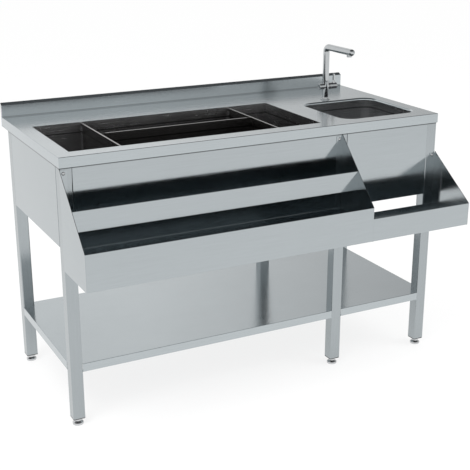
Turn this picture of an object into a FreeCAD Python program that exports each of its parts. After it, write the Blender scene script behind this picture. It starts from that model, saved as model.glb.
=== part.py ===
import FreeCAD, Part
import math
import os

V = FreeCAD.Vector

# ---------------------------------------------------------------------------
# Driving dimensions, millimetres.
# The model is drawn from the worktop's front left corner on the floor: +X runs
# right along the front, +Y runs back, +Z up. export() then moves every piece so
# that the origin is the middle of the overall box, on the floor.
# ---------------------------------------------------------------------------
LENGTH = 1400.0            # worktop, left end to right end
WORKTOP_HEIGHT = 900.0     # floor to worktop surface
WORKTOP_DEPTH = 650.0      # drip edge to the back of the upstand
DRIP_HEIGHT = 33.0         # folded edge of the worktop
SHEET = 1.5                # worktop, plates
THIN_SHEET = 1.2           # panels, shelf, troughs, liner
EDGE_RADIUS = 2.0          # bends and ground corners of the worktop
BEND_RADIUS = 0.8          # inner radius of the thin sheets' bends

UPSTAND_THICKNESS = 14.0
UPSTAND_HEIGHT = 50.0
UPSTAND_BEVEL = 8.0        # rise of the sloping top fold

LEG = 40.0                 # square tube
LEG_WALL = 1.5
LEG_RADIUS = 3.0
LEG_SIDE_INSET = 1.5       # leg face behind the end of the worktop
LEG_FRONT_INSET = 3.0      # leg face behind the drip edge
LEG_BACK_FACE = 578.0      # back face of the rear legs
LEG_BOTTOM = 27.0          # end of the tube above the floor
LEG_MIDDLE = 1000.0        # centre of the middle pair, under the joint of the rails

PANEL_BOTTOM = 606.0       # lower edge of the right apron and the side panels
TALL_APRON_BOTTOM = 600.0  # the left apron ends behind its rail's back lip
PANEL_RETURN = 14.0

CHANNEL_HEIGHT = 60.0      # channels under the worktop
CHANNEL_WIDTH = 24.0

SHELF_TOP = 218.0
SHELF_LIP = 28.0

SHELF_INSIDE_HEM = 12.0
STIFFENER_INSET = 170.0    # centre lines of the shelf's two stiffeners
STIFFENER_DEPTH = 22.0

RAIL_REACH = 200.0         # bottle rails in front of the worktop
RAIL_BOTTOM = 541.0
RAIL_FLANGE = 24.0
TALL_PLATE_TOP = 866.0
TALL_LIP_TOP = 659.0
UPPER_LIP_REACH = 100.0
UPPER_TROUGH_BOTTOM = 693.0
UPPER_LIP_TOP = 760.0
LOW_PLATE_TOP = 762.0
LOW_LIP_TOP = 620.0
TALL_BACK_LIP = 604.5
LOW_BACK_LIP = 567.0
UPPER_BACK_LIP = 719.0
HEM_DEPTH = 13.0
HEM_WIDTH = 2.7
TALL_SCREW_Z = 850.0
LOW_SCREW_Z = 749.0
SCREW_INSET = 13.0         # screw centre from the outer face of its plate
SCREW_RADIUS = 2.5
SCREW_LENGTH = 10.0
SCREW_HEAD_RADIUS = 5.5
SCREW_CROWN_RADIUS = 3.4
SCREW_HEAD_HEIGHT = 2.8
HOLE_CLEARANCE = 0.05

BIN_LEFT, BIN_RIGHT = 51.0, 944.0
BIN_FRONT, BIN_BACK = 57.0, 445.0
BIN_FLOOR = 655.0          # lowest strip of the liner's floor
BIN_FLOOR_RISE = 5.0
BIN_FLANGE = 5.5
DRAIN_X, DRAIN_Y = 497.0, 163.0
DRAIN_STRIP = 90.0         # width of the level strip with the drain
DRAIN_RADIUS = 20.95       # G1 1/4 tail
DRAIN_SHANK_RADIUS = 21.5  # above the tail, where the lock nut sits
DRAIN_BORE = 17.5
DRAIN_FLANGE_RADIUS = 32.0
DRAIN_TAIL_BOTTOM = 586.0
DRAIN_NUT_HEIGHT = 8.0
DRAIN_NUT_RADIUS = 30.0
FOAM_BOTTOM = 624.0
SHELL_SHEET = 1.0
SHELL_LEFT, SHELL_RIGHT = 43.0, 975.0
SHELL_FRONT, SHELL_BACK = 8.0, 489.0

DIVIDER_LEFT_X = 225.5
DIVIDER_RIGHT_X = 789.0
DIVIDER_MIDDLE_Y = 268.5
DIVIDER_SHEET = 1.5
DIVIDER_CAP = 6.0          # width of the folded top edge
DIVIDER_CAP_RETURN = 9.0
DIVIDER_DROP = 5.0         # top edge below the worktop surface
DIVIDER_GAP = 0.5
DIVIDER_REST = 664.0       # lower edge of the cross dividers
MIDDLE_REST = 666.0        # lower edge of the middle divider, between its two feet
MIDDLE_FOOT_START = 12.0   # from the end of the middle divider to its foot
MIDDLE_FOOT_WIDTH = 30.0
MIDDLE_HOLD = 4.0          # how far the middle divider's ends sit between the strips
MIDDLE_GAP = 1.0           # between the middle divider and each strip
MIDDLE_CAP_START = 16.0    # from the end of the middle divider to its cap
STRIP_THICKNESS = 1.5
STRIP_TOP = 880.0
GUIDE_DEPTH = 9.0
GUIDE_WALL = 1.2
GUIDE_FOOT = 2.5

BOWL_X, BOWL_Y = 1200.5, 213.0
BOWL_LENGTH, BOWL_WIDTH = 302.0, 303.0
BOWL_DEPTH = 185.5         # below the worktop's surface
BOWL_CORNER = 48.0
BOWL_FLOOR_RADIUS = 26.0
BOWL_STEPS = 3             # flats of each upright corner
BOWL_FLOOR_STEPS = 2       # bands that make the round edge of the floor
BOWL_SHEET = 1.2
MOUTH_RADIUS = 8.0         # the surround rolls down into the bowl
MOUTH_STEPS = 3
MOUTH_LIP = 1.0            # upright end of the roll, which the bowl is welded to
SURROUND_MARGIN = 14.0     # from the bowl's wall out to the surround's edge
WASTE_RADIUS = 23.9        # G1 1/2 tail
WASTE_SHANK_RADIUS = 24.5  # above the tail, where the lock nut sits
WASTE_BORE = 20.5
WASTE_FLANGE_RADIUS = 36.0
WASTE_FLANGE_HEIGHT = 1.8
WASTE_HOLE_RADIUS = 25.0
WASTE_TAIL = 78.0
WASTE_NUT_HEIGHT = 9.0
WASTE_NUT_RADIUS = 33.0
SEAL_THICKNESS = 3.0
STRAINER_PLUG = 8.0        # depth of a strainer's tabs in its outlet
STRAINER_SLOTS = 6

TAP_X, TAP_Y = 1181.0, 405.0
TAP_RADIUS = 12.0
TAP_HOLE_RADIUS = 16.0
TAP_SHANK_RADIUS = 13.5
TAP_BASE_RADIUS = 17.5
TAP_BASE_RIM = 3.5         # upright rim of the base ring
TAP_BASE_HEIGHT = 9.0
VALVE_Z = 950.0
VALVE_RADIUS = 11.0
VALVE_LEFT = 1152.0
VALVE_RIGHT = 1193.0
VALVE_CHAMFER = 2.0
HANDLE_LEFT, HANDLE_RIGHT = 1193.8, 1228.0
HANDLE_RADIUS = 12.0
HANDLE_CHAMFER = 2.0
ROTOR_STEM = 4.0
ROTOR_GRIP = 14.0          # how deep the rotor sits in the handle
ROTOR_SEAT = 10.0          # and in the valve
LEVER_X = 1217.0
LEVER_TOP = 995.0
LEVER_FLAT_Z = 960.0       # flat spot on the handle, which the lever stands on
LEVER_RADIUS = 4.5
LEVER_SEAT = 7.0           # depth of the lever's socket below the flat spot
LEVER_FOOT = 7.0
LEVER_FOOT_HEIGHT = 12.0
LEVER_CHAMFER = 1.5
SPOUT_BOTTOM = 968.0
SPOUT_AXIS_Z = 1098.0
SPOUT_RADIUS = 12.0
SPOUT_BORE = 9.2
SPOUT_BEND = 17.0
SPOUT_END_Y = 237.0        # centre of the spout's round end
SPOUT_PIVOT_GAP = 0.05
SPOUT_PIVOT_HEIGHT = 16.0
SPOUT_REST_GAP = 0.4       # between the body's top and the spout
SPOUT_BEND_STEPS = 5
OUTLET_Y = 251.0
OUTLET_RADIUS = 10.0
OUTLET_BORE = 8.5
OUTLET_BOTTOM = 1084.5
AERATOR_BOTTOM = 1080.5
AERATOR_SLEEVE = 5.0
AERATOR_WATERWAY = 5.5
SHANK_BOTTOM = 855.0
INLET_SPACING = 15.0
INLET_RADIUS = 4.0
INLET_BORE = 2.5
INLET_LENGTH = 22.0
TAP_NUT_RADIUS = 19.0
TAP_NUT_HEIGHT = 8.0

INSERT_FLANGE = 3.0
INSERT_DEPTH = 26.0
FOOT_RADIUS = 18.0
FOOT_RIM = 7.0
FOOT_CONE_TOP = 14.0
FOOT_NECK = 11.0
FOOT_STUD = 5.0
STUD_CLEARANCE = 0.05
FOOT_GAP = 0.3

# Round forms that nothing turns on or is pushed onto are made of narrow flats.
ROUND_SIDES = 24
TAP_SIDES = 28
LEVER_SIDES = 16
FOOT_SIDES = 18            # grip flats of the feet
HOLE_SIDES = 12
LEG_STEPS = 2

# ---------------------------------------------------------------------------
# Worked out from the driving dimensions.
# ---------------------------------------------------------------------------
DECK_TOP = WORKTOP_HEIGHT
DECK_UNDER = DECK_TOP - SHEET
DRIP_BOTTOM = DECK_TOP - DRIP_HEIGHT
UPSTAND_FACE = WORKTOP_DEPTH - UPSTAND_THICKNESS
LEG_FRONT = LEG_FRONT_INSET
LEG_BACK = LEG_BACK_FACE - LEG
LEG_LEFT = LEG_SIDE_INSET
LEG_MIDDLE_LEFT = LEG_MIDDLE - LEG / 2
LEG_RIGHT = LENGTH - LEG_SIDE_INSET - LEG
BOWL_TOP = DECK_TOP - MOUTH_RADIUS - MOUTH_LIP
BOWL_FLOOR = DECK_TOP - BOWL_DEPTH
ORIGIN = V(-LENGTH / 2, -(WORKTOP_DEPTH - RAIL_REACH) / 2, 0)

LEGS = {
    "front_left": (LEG_LEFT, LEG_FRONT),
    "front_middle": (LEG_MIDDLE_LEFT, LEG_FRONT),
    "front_right": (LEG_RIGHT, LEG_FRONT),
    "back_left": (LEG_LEFT, LEG_BACK),
    "back_middle": (LEG_MIDDLE_LEFT, LEG_BACK),
    "back_right": (LEG_RIGHT, LEG_BACK),
}


# ---------------------------------------------------------------------------
# Small tools for building the forms.
# ---------------------------------------------------------------------------
def export(name, shape):
    """Move a finished piece to the part's origin and write it."""
    placed = shape.copy()
    placed.translate(ORIGIN)
    if not placed.isValid():
        print("not valid:", name)
    placed.exportStep("parts/%s.step" % name)
    print("%-22s solids %2d  volume %10.1f" % (name, len(placed.Solids), placed.Volume))


def block(x0, x1, y0, y1, z0, z1):
    """A box between two corners."""
    return Part.makeBox(x1 - x0, y1 - y0, z1 - z0, V(x0, y0, z0))


def rod(radius, start, end):
    """A round bar from one point to another."""
    along = end - start
    return Part.makeCylinder(radius, along.Length, start, along)


def prism_x(outline, x0, x1):
    """Extrude an outline of (y, z) points along X."""
    points = [V(x0, y, z) for y, z in outline]
    face = Part.Face(Part.makePolygon(points + points[:1]))
    return face.extrude(V(x1 - x0, 0, 0))


def prism_y(outline, y0, y1):
    """Extrude an outline of (x, z) points along Y."""
    points = [V(x, y0, z) for x, z in outline]
    face = Part.Face(Part.makePolygon(points + points[:1]))
    return face.extrude(V(0, y1 - y0, 0))


def flat_face(corners):
    return Part.Face(Part.makePolygon(corners + corners[:1]))


def skin(rings):
    """A solid of flat sides between rings of corners, closed by the first and last ring."""
    faces = [flat_face(rings[0][::-1]), flat_face(rings[-1])]
    for low, high in zip(rings, rings[1:]):
        for a in range(len(low)):
            b = (a + 1) % len(low)
            faces.append(flat_face([low[a], low[b], high[b], high[a]]))
    return Part.Solid(Part.Shell(faces))


def rounded_ring(x0, x1, y0, y1, radius, steps, z):
    """The corners of a rectangle whose round corners are made in steps."""
    centres = [(x1 - radius, y1 - radius), (x0 + radius, y1 - radius),
               (x0 + radius, y0 + radius), (x1 - radius, y0 + radius)]
    corners = []
    for quarter, (x, y) in enumerate(centres):
        for step in range(steps + 1):
            angle = math.pi / 2 * (quarter + step / steps)
            corners.append(V(x + radius * math.cos(angle), y + radius * math.sin(angle), z))
    return corners


def rounded_block(x0, x1, y0, y1, radius, steps, z0, z1):
    """A block with round upright corners."""
    return skin([rounded_ring(x0, x1, y0, y1, radius, steps, z) for z in (z0, z1)])


def edges_where(shape, test):
    """The straight or round edges of a shape whose middle point passes a test."""
    return [edge for edge in shape.Edges if test(edge.BoundBox.Center, edge.BoundBox)]


def bent_path(points, radii):
    """A path of straight runs joined by tangent arcs, one radius to a corner."""
    edges = []
    last = points[0]
    for before, corner, after, radius in zip(points, points[1:], points[2:], radii):
        incoming = (corner - before).normalize()
        outgoing = (after - corner).normalize()
        half_turn = incoming.getAngle(outgoing) / 2
        setback = radius * math.tan(half_turn)
        start = corner - incoming * setback
        end = corner + outgoing * setback
        inward = (outgoing - incoming).normalize()
        middle = corner + inward * (radius / math.cos(half_turn) - radius)
        edges.append(Part.LineSegment(last, start).toShape())
        edges.append(Part.Arc(start, middle, end).toShape())
        last = end
    edges.append(Part.LineSegment(last, points[-1]).toShape())
    return Part.Wire(edges)


def folded_sheet_x(outline, thickness, x0, x1):
    """A sheet bent along an open outline of (y, z) points and as wide as x0 to x1.

    The outline is one face of the sheet. The thickness lies on its left, or on
    its right when negative. Each bend has the same inner radius.
    """
    outer_radius = BEND_RADIUS + abs(thickness)
    face_radii, back_radii = [], []
    for (y0, z0), (y1, z1), (y2, z2) in zip(outline, outline[1:], outline[2:]):
        left_turn = (y1 - y0) * (z2 - z1) - (z1 - z0) * (y2 - y1) > 0
        face_is_outer = left_turn == (thickness > 0)
        face_radii.append(outer_radius if face_is_outer else BEND_RADIUS)
        back_radii.append(BEND_RADIUS if face_is_outer else outer_radius)
    path = bent_path([V(x0, y, z) for y, z in outline], face_radii)
    back = bent_path([V(x0, y, z) for y, z in offset_left(outline, thickness)], back_radii)
    first = Part.LineSegment(path.Edges[0].Vertexes[0].Point,
                             back.Edges[0].Vertexes[0].Point).toShape()
    last = Part.LineSegment(path.Edges[-1].Vertexes[-1].Point,
                            back.Edges[-1].Vertexes[-1].Point).toShape()
    loops = Part.sortEdges(path.Edges + [last] + back.Edges + [first])
    face = Part.Face(Part.Wire(loops[0]))
    return face.extrude(V(x1 - x0, 0, 0))


def offset_left(outline, distance):
    """Move an open outline sideways, with mitred corners."""
    moved = []
    for index, (y, z) in enumerate(outline):
        normals = []
        for a, b in ((index - 1, index), (index, index + 1)):
            if a < 0 or b >= len(outline):
                continue
            dy, dz = outline[b][0] - outline[a][0], outline[b][1] - outline[a][1]
            run = math.hypot(dy, dz)
            normals.append((-dz / run, dy / run))
        ny = sum(n[0] for n in normals) / len(normals)
        nz = sum(n[1] for n in normals) / len(normals)
        scale = distance / (ny * ny + nz * nz)
        moved.append((y + ny * scale, z + nz * scale))
    return moved


def hem_x(y_face, inward, z_top, x0, x1):
    """The flattened return of a sheet's top edge, with its round fold."""
    radius = HEM_WIDTH / 2
    y_far = y_face + inward * HEM_WIDTH
    strip = block(x0, x1, min(y_face, y_far), max(y_face, y_far), z_top - HEM_DEPTH, z_top - radius)
    y_axis = y_face + inward * radius
    fold = rod(radius, V(x0, y_axis, z_top - radius), V(x1, y_axis, z_top - radius))
    return strip.fuse(fold)


def polygon_corners(radius, sides, x, y, z):
    """The corners of a regular polygon about an upright axis."""
    corners = []
    for step in range(sides):
        angle = 2 * math.pi * (step + 0.5) / sides
        corners.append(V(x + radius * math.cos(angle), y + radius * math.sin(angle), z))
    return corners


def turned_in_flats(profile, sides, x, y, z):
    """Turn a closed outline of (radius, height) points about an upright axis, in flats.

    The outline runs upwards on its outer side, and may start and end on the axis.
    """
    faces = []
    for (r0, h0), (r1, h1) in zip(profile, profile[1:] + profile[:1]):
        low = polygon_corners(r0, sides, x, y, z + h0)
        high = polygon_corners(r1, sides, x, y, z + h1)
        if r0 == 0 and r1 == 0:
            continue
        if r0 == 0 or r1 == 0:
            faces.append(flat_face(high[::-1] if r0 == 0 else low))
            continue
        for a in range(sides):
            b = (a + 1) % sides
            faces.append(flat_face([low[a], low[b], high[b], high[a]]))
    return Part.Solid(Part.Shell(faces))


def polygon_prism(radius, sides, x, y, z0, z1):
    return skin([polygon_corners(radius, sides, x, y, z) for z in (z0, z1)])


def round_hole(radius, sides, x, y, z0, z1):
    """A prism that a round bar of the given radius just fits in."""
    return polygon_prism(radius / math.cos(math.pi / sides), sides, x, y, z0, z1)


def flat_ring(outer, inner, x, y, z0, z1):
    """A ring of flat sides, whose hole clears a round bar of radius inner."""
    hole = inner / math.cos(math.pi / ROUND_SIDES)
    return turned_in_flats([(hole, 0), (outer, 0), (outer, z1 - z0), (hole, z1 - z0)],
                           ROUND_SIDES, x, y, z0)


def hex_nut(radius, bore, bottom, top, x, y):
    """A nut with six flats, its axis upright."""
    return polygon_prism(radius, 6, x, y, bottom, top).cut(
        round_hole(bore, ROUND_SIDES, x, y, bottom - 1, top + 1))


def laid_along_x(shape, start):
    """Lay a shape made upright at the origin along +X, from a start point."""
    laid = shape.copy()
    laid.rotate(V(0, 0, 0), V(0, 1, 0), 90)
    laid.translate(start)
    return laid


def laid_along_y(shape, start):
    """Lay a shape made upright at the origin along +Y, from a start point."""
    laid = shape.copy()
    laid.rotate(V(0, 0, 0), V(1, 0, 0), -90)
    laid.translate(start)
    return laid


# ---------------------------------------------------------------------------
# Worktop: one folded sheet with drip edges, a hollow upstand and the openings
# of the ice bin and of the surround that the bowl hangs in.
# ---------------------------------------------------------------------------
def worktop_envelope(inset, radius):
    """The worktop's outer form, or its inner form when inset by the sheet."""
    low = DRIP_BOTTOM if inset == 0 else DRIP_BOTTOM - 1
    slope = UPSTAND_BEVEL / UPSTAND_THICKNESS
    drop = inset * math.sqrt(1 + slope * slope)
    back = WORKTOP_DEPTH - inset
    front = UPSTAND_FACE + inset
    ridge = DECK_TOP + UPSTAND_HEIGHT
    solid = prism_x([
        (inset, low),
        (inset, DECK_TOP - inset),
        (front, DECK_TOP - inset),
        (front, ridge - drop - slope * (WORKTOP_DEPTH - front)),
        (back, ridge - drop - slope * inset),
        (back, low),
    ], inset, LENGTH - inset)
    if radius == 0:
        return solid
    rounded = edges_where(solid, lambda centre, box: (
        abs(centre.z - DECK_TOP) < 1 and centre.y < UPSTAND_FACE - 1))
    return solid.makeFillet(radius, rounded)


def make_worktop():
    shell = worktop_envelope(0, EDGE_RADIUS).cut(worktop_envelope(SHEET, 0))
    front_hem = block(LEG_LEFT + 1, LENGTH - LEG_LEFT - 1, SHEET, 2 * SHEET,
                      DRIP_BOTTOM, DRIP_BOTTOM + HEM_DEPTH)
    shell = shell.fuse(front_hem)
    low, high = DECK_UNDER - 1, DECK_TOP + 1
    shell = shell.cut(skin([bowl_ring(SURROUND_MARGIN, low), bowl_ring(SURROUND_MARGIN, high)]))
    shell = shell.cut(block(BIN_LEFT, BIN_RIGHT, BIN_FRONT, BIN_BACK, low, high))
    shell = shell.cut(polygon_prism(TAP_HOLE_RADIUS, ROUND_SIDES, TAP_X, TAP_Y, low, high))
    return shell.removeSplitter()


def mouth_form(offset, low):
    """The hollow inside the rolled mouth, or inside its sheet's lower face when offset."""
    radius = MOUTH_RADIUS - offset
    rings = [bowl_ring(offset, low)]
    for step in range(MOUTH_STEPS + 1):
        angle = math.pi / 2 * step / MOUTH_STEPS
        rings.append(bowl_ring(MOUTH_RADIUS - radius * math.cos(angle),
                               DECK_TOP - MOUTH_RADIUS + radius * math.sin(angle)))
    return skin(rings)


def make_bowl_surround():
    """The ring of sheet round the bowl, level with the worktop, with its rolled mouth."""
    plate = skin([bowl_ring(SURROUND_MARGIN, DECK_UNDER), bowl_ring(SURROUND_MARGIN, DECK_TOP)])
    roll = mouth_form(SHEET, BOWL_TOP)
    return plate.fuse(roll).cut(mouth_form(0, BOWL_TOP - 1)).removeSplitter()


# ---------------------------------------------------------------------------
# Ice bin: liner, foam, casing, drain and lift-out dividers.
# ---------------------------------------------------------------------------
def bin_floor_height(x):
    """Height of the liner's floor, which falls to the level strip at the drain."""
    away = abs(x - DRAIN_X) - DRAIN_STRIP / 2
    slope = BIN_FLOOR_RISE / (BIN_RIGHT - DRAIN_X - DRAIN_STRIP / 2)
    return BIN_FLOOR + slope * max(away, 0)


def bin_form(offset, top):
    """The bin's hollow, enlarged sideways and downwards by offset."""
    left, right = BIN_LEFT - offset, BIN_RIGHT + offset
    strip = DRAIN_STRIP / 2
    outline = [
        (left, top),
        (left, bin_floor_height(BIN_LEFT) - offset),
        (DRAIN_X - strip, BIN_FLOOR - offset),
        (DRAIN_X + strip, BIN_FLOOR - offset),
        (right, bin_floor_height(BIN_RIGHT) - offset),
        (right, top),
    ]
    return prism_y(outline, BIN_FRONT - offset, BIN_BACK + offset)


def drain_hole(clearance):
    """A drill down through everything below the bin."""
    return round_hole(DRAIN_SHANK_RADIUS + clearance, ROUND_SIDES, DRAIN_X, DRAIN_Y,
                      FOAM_BOTTOM - 20, BIN_FLOOR + 1)


def make_bin_liner():
    walls = bin_form(THIN_SHEET, DECK_UNDER).cut(bin_form(0, DECK_UNDER + 1))
    wide = THIN_SHEET + BIN_FLANGE
    flange = block(BIN_LEFT - wide, BIN_RIGHT + wide, BIN_FRONT - wide, BIN_BACK + wide,
                   DECK_UNDER - THIN_SHEET, DECK_UNDER)
    flange = flange.cut(block(BIN_LEFT, BIN_RIGHT, BIN_FRONT, BIN_BACK, BIN_FLOOR, DECK_TOP))
    return walls.fuse(flange).cut(drain_hole(0.5)).removeSplitter()


def make_bin_foam():
    top = DECK_UNDER - THIN_SHEET - SHELL_SHEET
    body = block(SHELL_LEFT + SHELL_SHEET, SHELL_RIGHT - SHELL_SHEET,
                 SHELL_FRONT + SHELL_SHEET, SHELL_BACK - SHELL_SHEET, FOAM_BOTTOM, top)
    return body.cut(bin_form(THIN_SHEET, DECK_TOP)).cut(drain_hole(1))


def make_bin_casing():
    """The outer casing, whose top sheet meets the liner's flange."""
    top = DECK_UNDER - THIN_SHEET
    outer = block(SHELL_LEFT, SHELL_RIGHT, SHELL_FRONT, SHELL_BACK, FOAM_BOTTOM - SHELL_SHEET, top)
    inner = block(SHELL_LEFT + SHELL_SHEET, SHELL_RIGHT - SHELL_SHEET, SHELL_FRONT + SHELL_SHEET,
                  SHELL_BACK - SHELL_SHEET, FOAM_BOTTOM, top - SHELL_SHEET)
    mouth = block(BIN_LEFT - THIN_SHEET, BIN_RIGHT + THIN_SHEET, BIN_FRONT - THIN_SHEET,
                  BIN_BACK + THIN_SHEET, BIN_FLOOR, top + 1)
    return outer.cut(inner).cut(mouth).cut(drain_hole(1))


def make_bin_drain():
    """Flange, shank and threaded tail of the bin's drain."""
    shank_bottom = FOAM_BOTTOM - SHELL_SHEET - DRAIN_NUT_HEIGHT
    flange = polygon_prism(DRAIN_FLANGE_RADIUS, ROUND_SIDES, DRAIN_X, DRAIN_Y,
                           BIN_FLOOR, BIN_FLOOR + 2)
    shank = polygon_prism(DRAIN_SHANK_RADIUS, ROUND_SIDES, DRAIN_X, DRAIN_Y,
                          shank_bottom, BIN_FLOOR)
    tail = rod(DRAIN_RADIUS, V(DRAIN_X, DRAIN_Y, DRAIN_TAIL_BOTTOM),
               V(DRAIN_X, DRAIN_Y, shank_bottom))
    bore = round_hole(DRAIN_BORE, ROUND_SIDES, DRAIN_X, DRAIN_Y, DRAIN_TAIL_BOTTOM - 1,
                      BIN_FLOOR + 3)
    return flange.fuse([shank, tail]).cut(bore).removeSplitter()


def make_strainer(x, y, seat, radius, plug_radius, thickness):
    """A lift-out strainer: a slotted disc with a knob, and four tabs in its outlet."""
    top = seat + thickness
    part = turned_in_flats([(0, 0), (radius, 0), (radius - 0.6, thickness), (0, thickness)],
                           ROUND_SIDES, x, y, seat)
    knob_neck = polygon_prism(3, 6, x, y, top, top + 6)
    knob_head = polygon_prism(5.5, 6, x, y, top + 6, top + 9)
    part = part.fuse([knob_neck, knob_head])
    for turn in range(4):
        tab = block(x + plug_radius - 1.5, x + plug_radius - 0.2, y - 4, y + 4,
                    seat - STRAINER_PLUG, seat)
        tab.rotate(V(x, y, 0), V(0, 0, 1), 90 * turn)
        part = part.fuse(tab)
    for turn in range(STRAINER_SLOTS):
        slot = block(x + 7, x + plug_radius - 3, y - 1.4, y + 1.4, seat - 1, top + 1)
        slot.rotate(V(x, y, 0), V(0, 0, 1), 360 / STRAINER_SLOTS * (turn + 0.5))
        part = part.cut(slot)
    return part.removeSplitter()


def divider_profile(y_or_x, top, bottom):
    """Outline of a divider seen end on: a sheet with a folded cap."""
    half_sheet = DIVIDER_SHEET / 2
    half_cap = DIVIDER_CAP / 2
    return [
        (y_or_x - half_sheet, bottom),
        (y_or_x - half_sheet, top - DIVIDER_SHEET),
        (y_or_x - half_cap + DIVIDER_SHEET, top - DIVIDER_SHEET),
        (y_or_x - half_cap + DIVIDER_SHEET, top - DIVIDER_CAP_RETURN),
        (y_or_x - half_cap, top - DIVIDER_CAP_RETURN),
        (y_or_x - half_cap, top),
        (y_or_x + half_cap, top),
        (y_or_x + half_cap, top - DIVIDER_CAP_RETURN),
        (y_or_x + half_cap - DIVIDER_SHEET, top - DIVIDER_CAP_RETURN),
        (y_or_x + half_cap - DIVIDER_SHEET, top - DIVIDER_SHEET),
        (y_or_x + half_sheet, top - DIVIDER_SHEET),
        (y_or_x + half_sheet, bottom),
    ]


def make_cross_divider(x):
    """A divider that runs front to back between its guides."""
    top = DECK_TOP - DIVIDER_DROP
    low_cap = top - DIVIDER_CAP_RETURN
    sheet = prism_y(divider_profile(x, top, DIVIDER_REST), BIN_FRONT + GUIDE_WALL + DIVIDER_GAP,
                    BIN_BACK - GUIDE_WALL - DIVIDER_GAP)
    for y0, y1 in ((BIN_FRONT, BIN_FRONT + GUIDE_DEPTH + 1), (BIN_BACK - GUIDE_DEPTH - 1, BIN_BACK)):
        for flank in (-1, 1):
            inner = x + flank * (DIVIDER_SHEET / 2)
            outer = x + flank * DIVIDER_CAP
            sheet = sheet.cut(block(min(inner, outer), max(inner, outer), y0, y1,
                                    low_cap - 1, top - DIVIDER_SHEET))
    return sheet.removeSplitter()


def make_divider_strips(x, side):
    """Two upright strips on a cross divider, with the middle divider's end between them."""
    near = x + side * DIVIDER_SHEET / 2
    far = x + side * (DIVIDER_CAP / 2 + DIVIDER_GAP + MIDDLE_HOLD)
    strips = []
    for flank in (-1, 1):
        inner = DIVIDER_MIDDLE_Y + flank * (DIVIDER_SHEET / 2 + MIDDLE_GAP)
        outer = inner + flank * STRIP_THICKNESS
        strips.append(block(min(near, far), max(near, far), min(inner, outer),
                            max(inner, outer), DIVIDER_REST, STRIP_TOP))
    return Part.Compound(strips)


def make_middle_divider():
    """The long divider. It stands on two feet, its ends between the strips."""
    top = DECK_TOP - DIVIDER_DROP
    x0 = DIVIDER_LEFT_X + DIVIDER_CAP / 2 + DIVIDER_GAP
    x1 = DIVIDER_RIGHT_X - DIVIDER_CAP / 2 - DIVIDER_GAP
    sheet = prism_x(divider_profile(DIVIDER_MIDDLE_Y, top, MIDDLE_REST), x0, x1)
    half_sheet = DIVIDER_SHEET / 2
    for xa, xb in ((x0, x0 + MIDDLE_CAP_START), (x1 - MIDDLE_CAP_START, x1)):
        for side in (-1, 1):
            inner = DIVIDER_MIDDLE_Y + side * half_sheet
            outer = DIVIDER_MIDDLE_Y + side * DIVIDER_CAP
            sheet = sheet.cut(block(xa, xb, min(inner, outer), max(inner, outer),
                                    top - DIVIDER_CAP_RETURN - 1, top + 1))
    left_foot = x0 + MIDDLE_FOOT_START
    right_foot = x1 - MIDDLE_FOOT_START
    for xa, xb in ((left_foot, left_foot + MIDDLE_FOOT_WIDTH),
                   (right_foot - MIDDLE_FOOT_WIDTH, right_foot)):
        highest = max(bin_floor_height(xa), bin_floor_height(xb))
        sheet = sheet.fuse(block(xa, xb, DIVIDER_MIDDLE_Y - half_sheet,
                                 DIVIDER_MIDDLE_Y + half_sheet, highest, MIDDLE_REST))
    return sheet.removeSplitter()


def make_divider_guides():
    """Four slotted guides on the liner's long walls, each closed at its foot."""
    guides = []
    top = DECK_TOP - DIVIDER_DROP - DIVIDER_CAP_RETURN - 4
    slot = DIVIDER_SHEET / 2 + DIVIDER_GAP
    for x in (DIVIDER_LEFT_X, DIVIDER_RIGHT_X):
        for y0, y1 in ((BIN_FRONT, BIN_FRONT + GUIDE_DEPTH), (BIN_BACK - GUIDE_DEPTH, BIN_BACK)):
            body = block(x - slot - GUIDE_WALL, x + slot + GUIDE_WALL, y0, y1,
                         DIVIDER_REST - GUIDE_FOOT, top)
            front = y0 < DIVIDER_MIDDLE_Y
            gap0 = y0 + GUIDE_WALL if front else y0 - 1
            gap1 = y1 + 1 if front else y1 - GUIDE_WALL
            guides.append(body.cut(block(x - slot, x + slot, gap0, gap1, DIVIDER_REST, top + 1)))
    return Part.Compound(guides)


# ---------------------------------------------------------------------------
# Sink bowl and its waste.
# ---------------------------------------------------------------------------
def bowl_ring(margin, z):
    """The bowl's mouth moved out by margin, or in when negative."""
    half_x = BOWL_LENGTH / 2 + margin
    half_y = BOWL_WIDTH / 2 + margin
    return rounded_ring(BOWL_X - half_x, BOWL_X + half_x, BOWL_Y - half_y, BOWL_Y + half_y,
                        BOWL_CORNER + margin, BOWL_STEPS, z)


def bowl_form(offset, top, floor):
    """The bowl's hollow enlarged by offset, its round floor edge in flat bands."""
    radius = BOWL_FLOOR_RADIUS + offset
    rings = []
    for step in range(BOWL_FLOOR_STEPS + 1):
        angle = math.pi / 2 * step / BOWL_FLOOR_STEPS
        rings.append(bowl_ring(offset - radius * (1 - math.sin(angle)),
                               floor + radius * (1 - math.cos(angle))))
    rings.append(bowl_ring(offset, top))
    return skin(rings)


def make_sink_bowl():
    outer = bowl_form(BOWL_SHEET, BOWL_TOP, BOWL_FLOOR - BOWL_SHEET)
    inner = bowl_form(0, BOWL_TOP + 1, BOWL_FLOOR)
    hole = round_hole(WASTE_HOLE_RADIUS, ROUND_SIDES, BOWL_X, BOWL_Y,
                      BOWL_FLOOR - 3, BOWL_FLOOR + 1)
    return outer.cut(inner).cut(hole).removeSplitter()


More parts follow.
